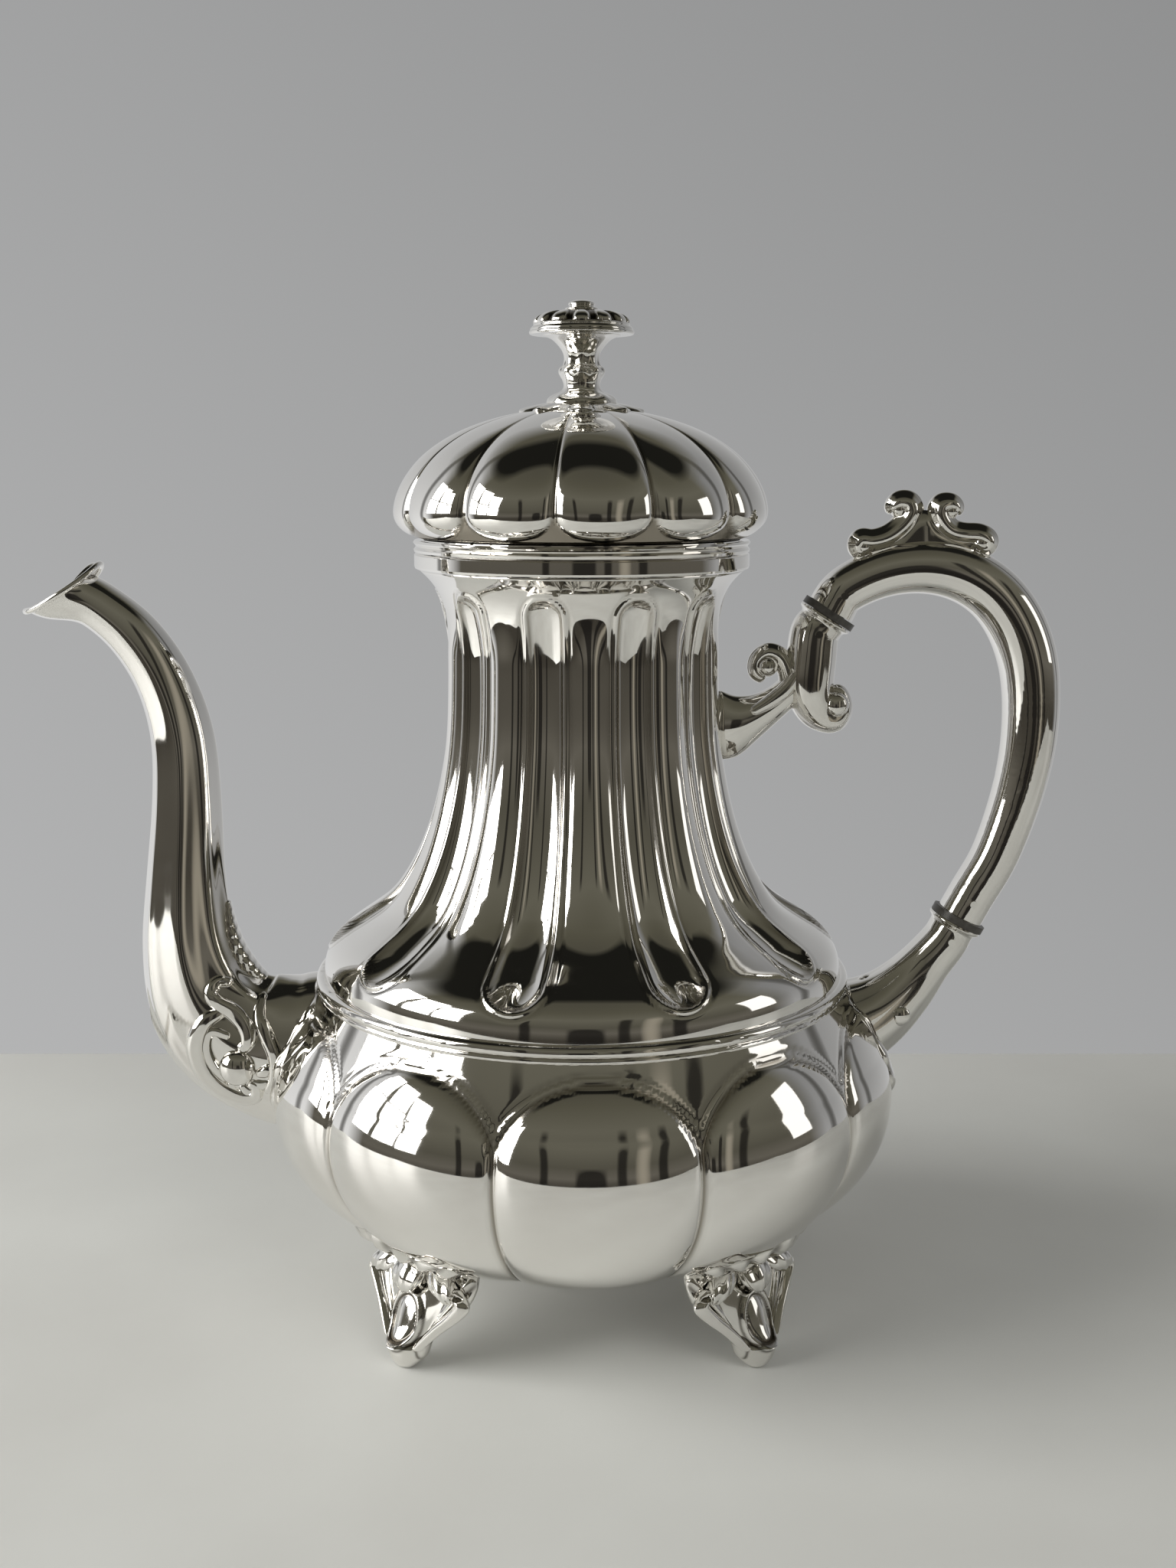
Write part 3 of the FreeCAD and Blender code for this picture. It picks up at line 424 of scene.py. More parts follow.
INSIDE_SHADE = 0.15                  # hollow number of the walls inside the pot
INNER_GAP = 0.6                      # the plain inner wall stays this clear of the deepest line
turns = steps_round(520) + np.radians(LOBE_TURN - HALF_LOBE)
outer_r, outer_z, shade = bowl_surface(turns, 168)
crest, z, crease = bowl_profile(48)
inner_r = (crest - crease - WALL - INNER_GAP)[::-1][:, None]
inner_z = np.clip(z, FLOOR + WALL, SHOULDER)[::-1][:, None]
bowl_grid = np.concatenate([round_points(outer_r, turns[None], outer_z),
                            round_points(inner_r, turns[None], inner_z)])
bowl_shade = np.concatenate([shade, np.full((48, len(turns)), INSIDE_SHADE)])
print("bowl crest radius", round(float(outer_r.max()), 2), "mm")
make_piece("bowl_lobed", [patch(bowl_grid, hollow=bowl_shade)], "pot", ["bowl"],
           SHEET)

# %% [markdown]
# The neck sweeps up from the shoulder with ten hollow flutes. Each flute is a long capsule: round
# at the top, and wider at its foot where it ends as a deep spoon. A capsule is all the points
# within a given width of a line, so the distance to that line says where the hollow, its raised
# edge and the rib between flutes are.

# %% The neck
RIM_R, NECK_R, JOINT, RIM_H = 40.5, 33.3, 190.0, 4.0
FLUTES, FLUTE_TURN = 10, 21.5        # flutes round the neck, and how far one is turned
HALF_FLUTE = 180.0 / FLUTES
FLUTE_FOOT, FLUTE_TIP = 93.5, 180.0  # heights of a flute's two ends
flute_wide = [(0, 6.6), (0.12, 6.2), (0.3, 5.2), (0.5, 4.5), (0.75, 4.1), (1, 4.0)]
flute_deep = [(0, 6.2), (0.1, 5.4), (0.25, 3.6), (0.5, 2.3), (0.8, 2.0), (1, 1.7)]
neck_rows = [
    (0.00, 0.000, 1.000, 0.00), (0.06, 0.035, 0.995, 0.00), (0.12, 0.072, 0.965, 0.00),
    (0.19, 0.110, 0.860, 0.00), (0.26, 0.150, 0.670, 0.00), (0.33, 0.188, 0.505, 0.00),
    (0.41, 0.245, 0.365, 0.00), (0.50, 0.330, 0.225, 0.00), (0.60, 0.440, 0.110, 0.00),
    (0.70, 0.570, 0.030, 0.00), (0.80, 0.700, 0.000, 0.00), (0.90, 0.890, 0.000, 0.01),
    (0.96, 0.962, 0.000, 0.32), (1.00, 1.000, 0.000, 0.84)]


def neck_profile(count):
    """Radius and height of the plain wall, from the shoulder to under the band."""
    h, at_shoulder, at_rim = drawn(neck_rows, count, 34).T
    radius = NECK_R + at_shoulder * (SHOULDER_R - NECK_R) + at_rim * (RIM_R - NECK_R)
    return radius, SHOULDER + (JOINT - RIM_H - SHOULDER) * h


def neck_surface(angle, rows):
    """Wall minus flutes. Inside a flute the depth follows a quarter circle of the distance to its
    edge, the edge carries a bead with a groove beside it, and the rib is crowned by a sine."""
    r, z = neck_profile(rows)
    s = path_length(r, z)
    foot, tip = s[np.searchsorted(z, FLUTE_FOOT)], s[np.searchsorted(z, FLUTE_TIP)]
    share = unit((s - foot) / (tip - foot))
    wide, deep = eased(flute_wide, share), eased(flute_deep, share)
    r, s = r[:, None], s[:, None]
    start, end = foot + 6.0, tip - 4.0
    turn = (np.degrees(angle) - FLUTE_TURN + HALF_FLUTE) % (2 * HALF_FLUTE) - HALF_FLUTE
    away = np.hypot(r * np.radians(turn)[None, :], s - np.clip(s, start, end)) - wide
    inside = unit(-away / wide)
    hollow = -deep * np.sqrt(unit(1.0 - (1.0 - inside) ** 2)) ** 1.2
    line = 0.40 * bell(away, 0.6, 0.5) - 0.25 * bell(away, 1.7, 0.5)
    room = r * np.radians(HALF_FLUTE) - wide
    length = unit((s - start) / 16.0) * unit((end - s) / 10.0)
    crown = 1.7 * length * np.sin(0.5 * np.pi * unit(away / room)) ** 1.4
    shade = 0.7 * bell(away, -0.1, 0.35) + 0.3 * bell(away, 1.7, 0.4)
    return r + hollow + line + crown - length, z[:, None], unit(shade)


turns = steps_round(520) + np.radians(LOBE_TURN)
outer_r, outer_z, shade = neck_surface(turns, 165)
r, z = neck_profile(40)
shell = np.interp(z, outer_z[:, 0], outer_r.min(axis=1)) - WALL
inner = round_points(shell[::-1][:, None], turns[None], z[::-1][:, None])
neck_grid = np.concatenate([round_points(outer_r, turns[None], outer_z), inner])
neck_shade = np.concatenate([shade, np.full((40, len(turns)), INSIDE_SHADE)])
make_piece("neck_fluted", [patch(neck_grid, wrap_u=True, hollow=neck_shade)], "pot",
           ["neck_flare", "neck_column"], SHEET)

# %% [markdown]
# The lid's dome has twelve melon lobes with deep, sharp creases. They run out near the top under
# the rosette. At the bottom each lobe ends in a half oval and tucks under, as a pillow does.

# %% The lid's dome
DOME_OUT, DOME_H = 4.8, 34.0
MELONS, MELON_TURN, MELON_CREASE = 12, 7.0, 3.0
HALF_MELON = 180.0 / MELONS
dome_rows = [
    (0.00, 0.090, 1.010, 0.00, 0.30), (0.08, 0.130, 1.000, 0.62, 0.95),
    (0.17, 0.210, 1.000, 0.96, 1.05), (0.27, 0.310, 1.000, 1.00, 1.00),
    (0.37, 0.430, 0.980, 0.94, 0.90), (0.47, 0.550, 0.940, 0.80, 0.80),
    (0.58, 0.680, 0.860, 0.67, 0.80), (0.69, 0.800, 0.730, 0.55, 0.65),
    (0.80, 0.890, 0.580, 0.40, 0.50), (0.90, 0.960, 0.400, 0.21, 0.25),
    (1.00, 1.000, 0.200, 0.00, 0.00)]


def dome_profile(count):
    """Radius at the crests, height, and share of the crease, from the rim to the top."""
    h, a, b, c = drawn(dome_rows, count, 22).T
    return a * RIM_R + b * DOME_OUT, JOINT + DOME_H * h, c


def dome_surface(angle, rows):
    """A base wall plus a pillow for each lobe. Inside is 1 in a lobe's middle and 0 on its outline,
    two creases joined at the bottom by a half oval; the pillow follows a quarter circle."""
    crest, z, crease = dome_profile(rows)
    s = path_length(crest, z)
    across = (np.degrees(angle) - MELON_TURN + HALF_MELON) % (2 * HALF_MELON) / HALF_MELON - 1.0
    turn_in = np.clip((9.5 - s[:, None]) / 7.2, 0.0, None)
    inside = unit(1.0 - np.hypot(across[None, :], turn_in))
    pillow = np.sqrt(unit(1.0 - (1.0 - inside) ** 2))
    deep = MELON_CREASE * np.maximum(crease, 0.95 * unit(1.0 - s / 12.0))[:, None]
    step = -0.5 / (1.0 + np.exp((s[:, None] - 1.5) / 0.2))
    edge = inside * crest[:, None] * np.radians(HALF_MELON)
    shade = 0.9 * bell(edge, 0.0, 0.45) * unit(deep / 2.0)
    return crest[:, None] - deep * (1.0 - pillow) + step, z[:, None], unit(shade)


turns = steps_round(480) + np.radians(MELON_TURN - HALF_MELON)
outer_r, outer_z, shade = dome_surface(turns, 190)
crest, z, crease = dome_profile(30)
inner = round_points((crest - 3.9)[::-1][:, None], turns[None],
                     np.clip(z - 0.4, z[0], JOINT + DOME_H - WALL)[::-1][:, None])
dome_grid = np.concatenate([inner, round_points(outer_r, turns[None], outer_z)])
dome_shade = np.concatenate([np.full((30, len(turns)), INSIDE_SHADE), shade])
make_piece("lid_dome_lobed", [patch(dome_grid, hollow=dome_shade)], "lid", ["lid_dome"],
           SHEET)

# %% [markdown]
# Spout, handle and scrolls are tubes whose middle line lies in an upright plane. Each station
# gives a place, how deep the tube is in that plane and how wide it is across it. A tube's section
# may be rippled to make reeding or flutes, and its two ends may be rounded off.

# %% Tubes in an upright plane
def evened(rows, count):
    """Rows read at even steps of their own number, as an eased curve."""
    return eased(np.column_stack([np.linspace(0, 1, len(rows)), rows]), np.linspace(0, 1, count))


def tube(rows, rings, around=40, ripple=None, mouth=None, ends=(True, True)):
    """Grid round a line: middle + depth cos(a) along the in-plane normal + width sin(a) across.
    rows are (x, z, depth, width, y). ripple(t, a) multiplies the section. mouth is (slope in
    degrees, share) and turns the last rings to that slope. A rounded end shrinks the section by
    the quarter-circle rule over its first or last few rings."""
    rows = np.array([tuple(r) + (0.0,) * (5 - len(r)) for r in rows], float)
    x, z, depth, width, y = fair(evened(rows, 3 * len(rows)), rings).T
    t = np.linspace(0.0, 1.0, rings)
    heading = np.arctan2(np.gradient(z), np.gradient(x)) - np.pi / 2.0
    if mouth:
        turning = unit((t - 1.0 + mouth[1]) / mouth[1]) ** 2
        heading = heading + turning * (np.radians(mouth[0]) - heading[-1])
    a = steps_round(around)
    size = np.ones((rings, around)) if ripple is None else ripple(t[:, None], a[None, :])
    length = path_length(x, z)
    for end, wanted in ((length, ends[0]), (length[-1] - length, ends[1])):
        if wanted:
            reach = 0.8 * (depth[0] if end is length else depth[-1])
            size = size * np.sqrt(unit(1 - (1 - np.clip(end / reach, 0.02, 1)) ** 2))[:, None]
    across, over = depth[:, None] * np.cos(a) * size, width[:, None] * np.sin(a) * size
    return np.stack([x[:, None] + across * np.cos(heading)[:, None], y[:, None] + over,
                     z[:, None] + across * np.sin(heading)[:, None]], axis=-1)


def bead(x, y, z, radius, squash=1.0):
    """Small ball: radius times the sine and cosine of latitude, squashed along y."""
    up = np.linspace(-np.pi / 2 + 0.05, np.pi / 2 - 0.05, 14)[:, None]
    a, out = steps_round(24)[None], radius * np.cos(up)
    return np.stack([x + out * np.cos(a), y + squash * out * np.sin(a),
                     z + radius * np.sin(up) * np.ones_like(a)], axis=-1)


def flipped(grid):
    """The same grid mirrored from front to back."""
    return grid * np.array([1.0, -1.0, 1.0])


print("tube test:", tube([(0, 0, 1, 1), (0, 5, 1, 1), (0, 9, 1, 1)], 8, 6).shape)

# %% [markdown]
# The spout rises from low in the bowl, as a coffee pot's does, and bends over to a wavy lip. It is
# softly fluted, most of all in its lower half, and leaves with scalloped ends wrap its bend. The
# lip dips at both sides and carries a thin bead. An inner tube, one wall in, makes it hollow.

# %% The spout
SPOUT_OUT, LIP, SPOUT_R = 57.4, 181.4, 8.6
SPOUT_MOUTH = (32.0, 0.09)           # slope of the lip, and share of the length that turns to it
OUTER_RINGS, INNER_RINGS, SPOUT_ROUND = 230, 120, 120


def on_spout(out, up):
    """Place from shares of the spout's reach and height; below nought, height runs to the floor."""
    reach = (LIP - SHOULDER) if up > 0 else (SHOULDER - FLOOR)
    return -(BOWL_R + SPOUT_OUT * out), SHOULDER + up * reach


spout_rows = [on_spout(u, v) + (SPOUT_R + d, SPOUT_R + w) for u, v, d, w in [
    (-0.237, -0.321, 12.0, 5.6), (-0.063, -0.313, 10.6, 4.8), (0.146, -0.252, 8.6, 3.9),
    (0.294, -0.107, 6.0, 3.2), (0.359, 0.073, 3.0, 2.2), (0.362, 0.249, 1.0, 0.9),
    (0.345, 0.447, -0.2, 0.0), (0.352, 0.622, -0.9, -0.9), (0.422, 0.768, -1.6, -1.6),
    (0.540, 0.880, -2.1, -2.1), (0.679, 0.952, -2.6, -2.4), (0.767, 0.979, -2.0, -2.0),
    (0.833, 1.000, 1.9, -1.0)]]


def leaf_edge(a):
    """Share of the length where the leaves end: three scallops on each side of the tube."""
    return 0.262 - 0.035 * np.abs(np.sin(3.0 * a)) ** 0.8


def outer_side(a):
    """1 on the outside of the bend, 0 on the inside."""
    return unit(0.35 - np.cos(a))


def spout_ripple(t, a):
    """Flutes: eight shallow hollows round the tube, strongest below the middle. Leaves: a step up
    below the scalloped line, on the outer side of the bend, with fine veins."""
    low = 0.30 + 0.70 * unit((0.75 - t) / 0.40)
    fluted = unit((t - 0.10) / 0.08) * low * unit((0.93 - t) / 0.1)
    flute = -0.075 * fluted * (np.abs(np.sin(4.0 * a)) ** 1.3 - 0.5)
    leaf = outer_side(a) * 0.050 / (1.0 + np.exp((t - leaf_edge(a)) / 0.0035))
    vein = outer_side(a) * 0.012 * np.cos(24.0 * a) * unit((leaf_edge(a) - t) / 0.03)
    return 1.0 + flute + leaf + vein


outside = tube(spout_rows, OUTER_RINGS, SPOUT_ROUND, spout_ripple, SPOUT_MOUTH, (False, False))
inside = tube([r[:2] + (r[2] - WALL, r[3] - WALL) for r in spout_rows], INNER_RINGS, SPOUT_ROUND,
              None, SPOUT_MOUTH, (False, False))
a = steps_round(SPOUT_ROUND)
dip = -(2.0 * np.sin(a) ** 2 + 0.5 * np.cos(2 * a) * np.sin(a) ** 2)
lift = np.stack([-0.53 * dip, 0 * dip, 0.848 * dip], axis=-1)
for sheet in (outside, inside):
    near = unit((np.linspace(0, 1, len(sheet)) - 0.93) / 0.07)[:, None, None] ** 2
    sheet += near * lift[None]
t = np.linspace(0, 1, OUTER_RINGS)[:, None]
shade = 0.8 * bell(t, leaf_edge(a)[None] + 0.003, 0.004) * outer_side(a)[None]
spout_grid = np.concatenate([outside, inside[::-1]])
spout_shade = np.concatenate([shade, np.full((INNER_RINGS, SPOUT_ROUND), 2 * INSIDE_SHADE)])


def ring(points, radius, around=12):
    """Bead round a closed line: each point moves out by radius along two normals of the line."""
    along = np.roll(points, -1, axis=0) - np.roll(points, 1, axis=0)
    along /= np.linalg.norm(along, axis=1)[:, None]
    side = np.cross(along, np.array([0.3, 0.05, 1.0]))
    side /= np.linalg.norm(side, axis=1)[:, None]
    up = np.cross(side, along)
    b = steps_round(around)[None, :, None]
    return points[:, None] + radius * (np.cos(b) * side[:, None] + np.sin(b) * up[:, None])


lip_wire = ring(outside[-1] + 0.25 * (outside[-1] - inside[-1]), 0.75)
make_piece("spout_body", [patch(spout_grid, wrap_u=True, hollow=spout_shade),
                          patch(lip_wire, wrap_u=True)],
           "pot", ["spout_lower", "spout_upper", "spout_lip_wire"], SHEET)

# %% [markdown]
# Scrolls are tapered rods laid on the spout. To lay one on, each point of its line is pushed out
# to the spout's half width there: the oval's rule, width times the square root of one minus the
# squared share of the depth.

# %% Scrolls on the spout
line = fair(evened(spout_rows, 3 * len(spout_rows)), 500)


def spout_side(x, z):
    """Half width of the spout abreast of a point in side view, from the nearest station."""
    gap = np.hypot(x[:, None] - line[None, :, 0], z[:, None] - line[None, :, 1])
    near = gap.argmin(axis=1)
    share = gap.min(axis=1) / line[near, 2]
    return line[near, 3] * np.sqrt(unit(1 - share ** 2))


def laid(rows, at, rings=60, lift=0.35):
    """Rod through offsets (dx, dz, r) about a place, on the front side of the spout."""
    rows = np.array(rows, float) + np.array([at[0], at[1], 0.0])
    x, z, r = rows.T
    y = -spout_side(x, z) - lift * r
    return tube(np.column_stack([x, z, r, 0.85 * r, y]), rings, 20,
                lambda t, a: 1.0 + 0.10 * np.cos(2 * a) + 0.05 * np.cos(6 * a))


boss = on_spout(0.122, -0.326)
scrolls = [
    laid([(-1.0, 15.6, 1.0), (-4.4, 13.6, 1.4), (-8.0, 11.4, 1.9), (-10.3, 5.8, 2.3),
          (-9.2, -0.4, 2.4), (-5.4, -5.4, 2.3), (-0.2, -8.3, 2.0), (3.8, -8.0, 1.7),
          (4.4, -5.2, 1.4), (2.2, -4.2, 1.1)], boss, 80),
    laid([(-1.3, 20.3, 1.1), (-4.4, 21.2, 1.4), (-6.4, 18.9, 1.6), (-4.8, 16.3, 1.8),
          (-0.9, 13.9, 2.1), (2.4, 9.9, 2.0), (2.6, 6.2, 1.6), (0.4, 4.4, 1.2)], boss, 60),
    laid([(-1.6, 7.8, 0.9), (-6.2, 9.2, 1.2), (-7.8, 5.4, 1.3), (-6.4, 0.4, 1.3),
          (-3.2, -3.6, 1.1)], boss, 40),
    laid([(6.0, 17.6, 1.0), (5.4, 12.6, 1.5), (7.4, 8.0, 1.7), (9.4, 3.0, 1.6),
          (9.0, -3.0, 1.3), (6.6, -7.0, 1.0)], boss, 40),
]
half_width = float(spout_side(np.array([boss[0]]), np.array([boss[1]]))[0])
middle = bead(boss[0], -half_width - 0.6, boss[1], 4.6, 0.7)
petal_rows = ((4.6, 0.0, 0.9), (7.0, 0.25, 1.5), (8.6, 0.5, 0.8))
petals = [laid([(d * np.cos(k + turn), d * np.sin(k + turn), r) for d, turn, r in petal_rows],
               boss, 16, 0.1) for k in np.radians([-150, -118, -86, -54, -22])]
side = scrolls + petals + [middle]
make_piece("spout_scrolls", [patch(g) for g in side] + [patch(flipped(g)) for g in side], "pot",
           ["spout_scroll_front", "spout_scroll_back"], CAST)

leaf_rows = [on_spout(u, v) + (r, w) for u, v, r, w in [
    (0.185, 0.190, 0.8, 1.2), (0.178, 0.130, 1.6, 2.4), (0.150, 0.060, 2.3, 3.2),
    (0.085, 0.000, 2.2, 3.0), (0.020, -0.045, 1.5, 2.0)]]
waved = lambda t, a: 1.0 + 0.14 * np.cos(3 * a) * np.sin(10 * np.pi * t) ** 2
strip = tube(leaf_rows, 60, 24, waved)
x, z = on_spout(0.003, -0.062)
make_piece("spout_leaf_strip", [patch(strip), patch(bead(x, 0.0, z, 2.3))], "pot", ["spout_leaf"],
           CAST)

# %% [markdown]
# Where spout and handle meet the bowl, a fan of leaf ribs hides the solder. A fan is drawn in
# polar coordinates about its own middle, and every point is then pushed out to the bowl's wall,
# so the same wall formula is used once more at any angle and height.

# %% Fans on the bowl
FAN_WALL_R, FAN_TOP, FAN_SUNK = 72.0, 87.5, 0.25


def wall_at(angle, height):
    """Radius of the lobed wall at any angles and heights: the profile is looked up by height."""
    crest, z, crease = bowl_profile(200)
    base = crest - crease
    s = path_length(base, z)
    foot, top = s[np.searchsorted(z, ARCH_FOOT)], s[np.searchsorted(z, ARCH_TOP)]
    here = lambda values: np.interp(height, z, values)
    up = np.clip((here(s) - foot) / (top - foot), 0.0, None)
    pillow = pillow_at(1.0 - np.hypot(across_lobe(angle), up))
    lobe = np.where(here(s) > foot, np.maximum(here(crease), ARCH_CREASE), here(crease))
    return here(base) + lobe * pillow


def fan(turn, height, wide, tall, ribs, proud):
    """Closed shell on the wall: an outer sheet raised by proud and rippled by a cosine of ribs
    times the polar angle, its edge scalloped, and an inner sheet sunk into the wall."""
    out = np.linspace(0.04, 1.0, 36)[:, None]
    a = steps_round(144)[None]
    edge = 0.95 + 0.09 * np.abs(np.cos(ribs * a / 2.0))
    angle = np.radians(turn) + out * edge * wide * np.cos(a) / FAN_WALL_R
    z = np.minimum(height + out * edge * tall * np.sin(a), FAN_TOP)
    skin, ribbed = wall_at(angle, z), unit(out * 1.6 - 0.3)
    rounded = unit((1.0 - out) / 0.12) ** 0.5
    rise = proud * rounded * (0.80 + 0.22 * np.cos(ribs * a) * ribbed) - FAN_SUNK
    front, back = round_points(skin + rise, angle, z), round_points(skin - 0.8, angle, z)
    shade = 0.6 * unit(-np.cos(ribs * a)) * ribbed
    return patch(np.concatenate([front, back[::-1]]), hollow=np.concatenate([shade, 0 * shade]))


make_piece("spout_fan", [fan(-90.0, 66.0, 17.0, 20.0, 10, 1.7)], "pot", ["spout_collar"],
           CAST)
make_piece("handle_fan", [fan(90.0, 68.0, 14.0, 16.0, 10, 1.5)], "pot", ["handle_collar"],
           CAST)

# %% [markdown]
# The handle's crown carries a pair of C-scrolls back to back on a thin web, where the thumb
# presses. Sockets hold the grip at the discs: the upper one ends in a volute, and its bracket to
# the neck has a curl of its own; the lower one flares out onto the bowl with leaves chased in it.

# %% The handle's castings
HANDLE_OUT, CROWN, GRIP_R = 38.8, 186.5, 5.8


def on_handle(out, up):
    """Place from shares of the handle's reach and height."""
    reach = (CROWN - SHOULDER) if up > 0 else (SHOULDER - FLOOR)
    return BOWL_R + HANDLE_OUT * out, SHOULDER + up * reach


def about(at, rows):
    """Rows of (dx, dz, r...) moved to a place, with the width equal to the depth if left out."""
    return [(at[0] + r[0], at[1] + r[1], r[2], r[3] if len(r) > 3 else r[2]) for r in rows]


def back_along(disc, run, length):
    """Place at a length before a disc, against its direction."""
    return disc[0] + run[0] * length, disc[1] + run[1] * length


upper, upper_run = on_handle(-0.474, 0.888), (0.54, 0.842)
lower, lower_run = on_handle(0.412, 0.134), (0.464, 0.886)

sleeve_rows = [back_along(upper, upper_run, -d) + (r, r) for d, r in
               ((0.9, 6.7), (1.6, 6.8), (2.3, 5.9), (3.4, 5.7), (6.0, 5.8))]
sleeve_rows += [on_handle(u, v) + (GRIP_R + r, GRIP_R + r) for u, v, r in [
    (-0.572, 0.776, 0.1), (-0.582, 0.714, 0.0), (-0.546, 0.666, -0.7), (-0.490, 0.642, -1.6),
    (-0.420, 0.636, -2.2), (-0.378, 0.662, -2.9), (-0.400, 0.694, -3.4), (-0.440, 0.690, -3.9)]]
reeded = lambda t, a: 1.0 + 0.035 * np.abs(np.cos(3 * a)) * unit((t - 0.2) / 0.1)
sleeve = tube(sleeve_rows, 150, 48, reeded, None, (False, True))
x, z = on_handle(-0.418, 0.668)
volute = [patch(sleeve), patch(bead(x, -1.6, z, 3.4, 0.9)), patch(bead(x, 1.6, z, 3.4, 0.9))]
make_piece("upper_socket", volute, "pot", ["handle_upper_socket"], CAST)

x, z = on_handle(-0.634, 0.729)
root = NECK_R - 3.3
arm_rows = [(root + (x - root) * s, z + dz, depth, width) for s, dz, depth, width in [
    (0.0, -11.5, 12.0, 4.8), (0.21, -11.4, 9.4, 4.4), (0.42, -10.0, 6.2, 4.1),
    (0.65, -7.2, 4.3, 3.8), (0.85, -3.6, 3.6, 3.6), (1.0, 0.0, 3.0, 3.4)]]
arm = tube(arm_rows, 70, 40, lambda t, a: 1.0 + 0.06 * np.cos(4 * a) * (1 - t))
curl_rows = [(-1.0, -6.4, 1.8), (-2.4, -3.0, 2.5), (-3.0, 1.2, 2.5), (-4.8, 5.2, 2.3),
             (-8.2, 6.8, 2.1), (-11.0, 4.8, 1.9), (-11.2, 1.6, 1.7), (-8.8, 0.0, 1.4)]
curl = tube(about((x, z), curl_rows), 80, 28, lambda t, a: 1.0 + 0.07 * np.cos(4 * a))
shell_rows = [(-12.6, -8.0, 1.2), (-8.0, -5.2, 1.8), (-4.0, -2.0, 1.9), (-1.0, 2.6, 1.3)]
shell = tube(about((x, z), shell_rows), 40, 20)
shift = np.array([0.0, 3.2, 0.0])
make_piece("upper_bracket", [patch(arm), patch(curl), patch(shell - shift), patch(shell + shift),
                             patch(bead(x - 8.4, 0.0, z + 3.2, 2.7, 1.3))],
           "pot", ["handle_upper_bracket"], CAST)

socket_rows = [back_along(lower, lower_run, -d) + (r, r) for d, r in
               ((0.9, 6.7), (1.6, 6.8), (2.3, 5.9), (3.4, 5.7), (7.0, 5.9))]
socket_rows += [on_handle(u, v) + (GRIP_R + d, GRIP_R + w) for u, v, d, w in [
    (0.222, 0.022, 0.5, 0.2), (0.088, -0.064, 1.6, 1.0), (-0.077, -0.153, 3.4, 2.6),
    (-0.273, -0.220, 5.6, 4.4)]]
leafy = lambda t, a: 1.0 + 0.05 * np.abs(np.sin(4 * a)) * unit((t - 0.62) / 0.12)
x, z = on_handle(-0.160, -0.061)
x2, z2 = on_handle(0.03, -0.15)
make_piece("lower_socket", [patch(tube(socket_rows, 130, 64, leafy, None, (False, False))),
                            patch(bead(x, 0.0, z, 2.8)), patch(bead(x2, -7.2, z2, 2.6, 0.5)),
                            patch(bead(x2, 7.2, z2, 2.6, 0.5))],
           "pot", ["handle_lower_socket"], CAST)

# %% [markdown]
# The web under the thumb scrolls is a thin plate with a waved outline. Its rim is a row of points
# round the plate's middle; two copies, front and back, make it solid.

# %% The thumb scrolls
crown = on_handle(0.093, 1.0)
outline = np.array([(-14.2, -0.5), (-13.4, 2.4), (-10.4, 4.6), (-6.6, 7.0), (-4.0, 10.2),
                    (-1.6, 12.9), (0.6, 13.9), (2.6, 12.9), (4.4, 9.6), (8.2, 7.2), (12.6, 5.6),
                    (16.0, 3.4), (17.4, -1.0), (14.0, -3.6), (8.0, -2.5), (1.8, -2.0),
                    (-6.0, -1.6), (-11.0, -2.6)], float)
rim = fair(np.concatenate([outline, outline[:3]]), 121)[10:-6]
centre = np.array([1.0, 4.0])
shares = np.array([0.05, 0.6, 1.0, 1.0, 0.6, 0.05])[:, None]
thick = np.array([-2.0, -2.0, -1.4, 1.4, 2.0, 2.0])[:, None]
web = np.stack([crown[0] + centre[0] + shares * (rim[None, :, 0] - centre[0]),
                thick * np.ones(len(rim))[None],
                crown[1] + centre[1] + shares * (rim[None, :, 1] - centre[1])], axis=-1)
lobed = lambda t, a: 1.0 + 0.08 * np.cos(4 * a)
left_rows = [(-13.2, 3.0, 1.8), (-15.2, 4.4, 2.3), (-14.4, 6.4, 2.7), (-11.6, 6.2, 2.7),
             (-8.0, 7.2, 2.8), (-4.6, 9.8, 2.9), (-2.6, 12.8, 3.0), (-3.2, 15.0, 3.0),
             (-5.4, 15.4, 2.7), (-6.8, 14.2, 2.2), (-6.2, 13.0, 1.6)]
right_rows = [(13.8, 4.2, 1.7), (15.9, 4.6, 2.2), (16.2, 6.4, 2.6), (14.0, 7.6, 2.7),
              (10.4, 7.8, 2.7), (7.0, 8.8, 2.8), (4.6, 11.8, 2.9), (4.6, 14.4, 2.9),
              (6.8, 15.0, 2.6), (8.2, 14.0, 2.1), (7.4, 12.6, 1.5)]
curls = [patch(tube(about(crown, rows), 120, 36, lobed)) for rows in (left_rows, right_rows)]
knobs = [patch(bead(crown[0] + dx, 0.0, crown[1] + dz, r, 1.15)) for dx, dz, r in
         [(-13.8, 4.9, 2.3), (-5.6, 13.8, 2.2), (7.0, 13.4, 2.1), (14.6, 5.8, 2.3)]]
make_piece("thumb_scrolls", [patch(web)] + curls + knobs, "pot", ["handle_thumb_scroll"],
           CAST)

# %% [markdown]
# Four cast feet stand at the corners. Each is a shield-shaped leg with an oval boss on its front
# and raised ribs round it, two side scrolls that sweep down to the ankle, and a small hoof. A
# tongue and two wings of leaf lie over its top. One foot is drawn along +X and turned four times
# about the pot's axis, so all four are the same casting.

# %% The feet
FOOT_R = 55.0


def turned(grid, degrees):
    """Grid turned about the pot's axis."""
    c, s = np.cos(np.radians(degrees)), np.sin(np.radians(degrees))
    x, y, z = grid[..., 0], grid[..., 1], grid[..., 2]
    return np.stack([x * c - y * s, x * s + y * c, z], -1)


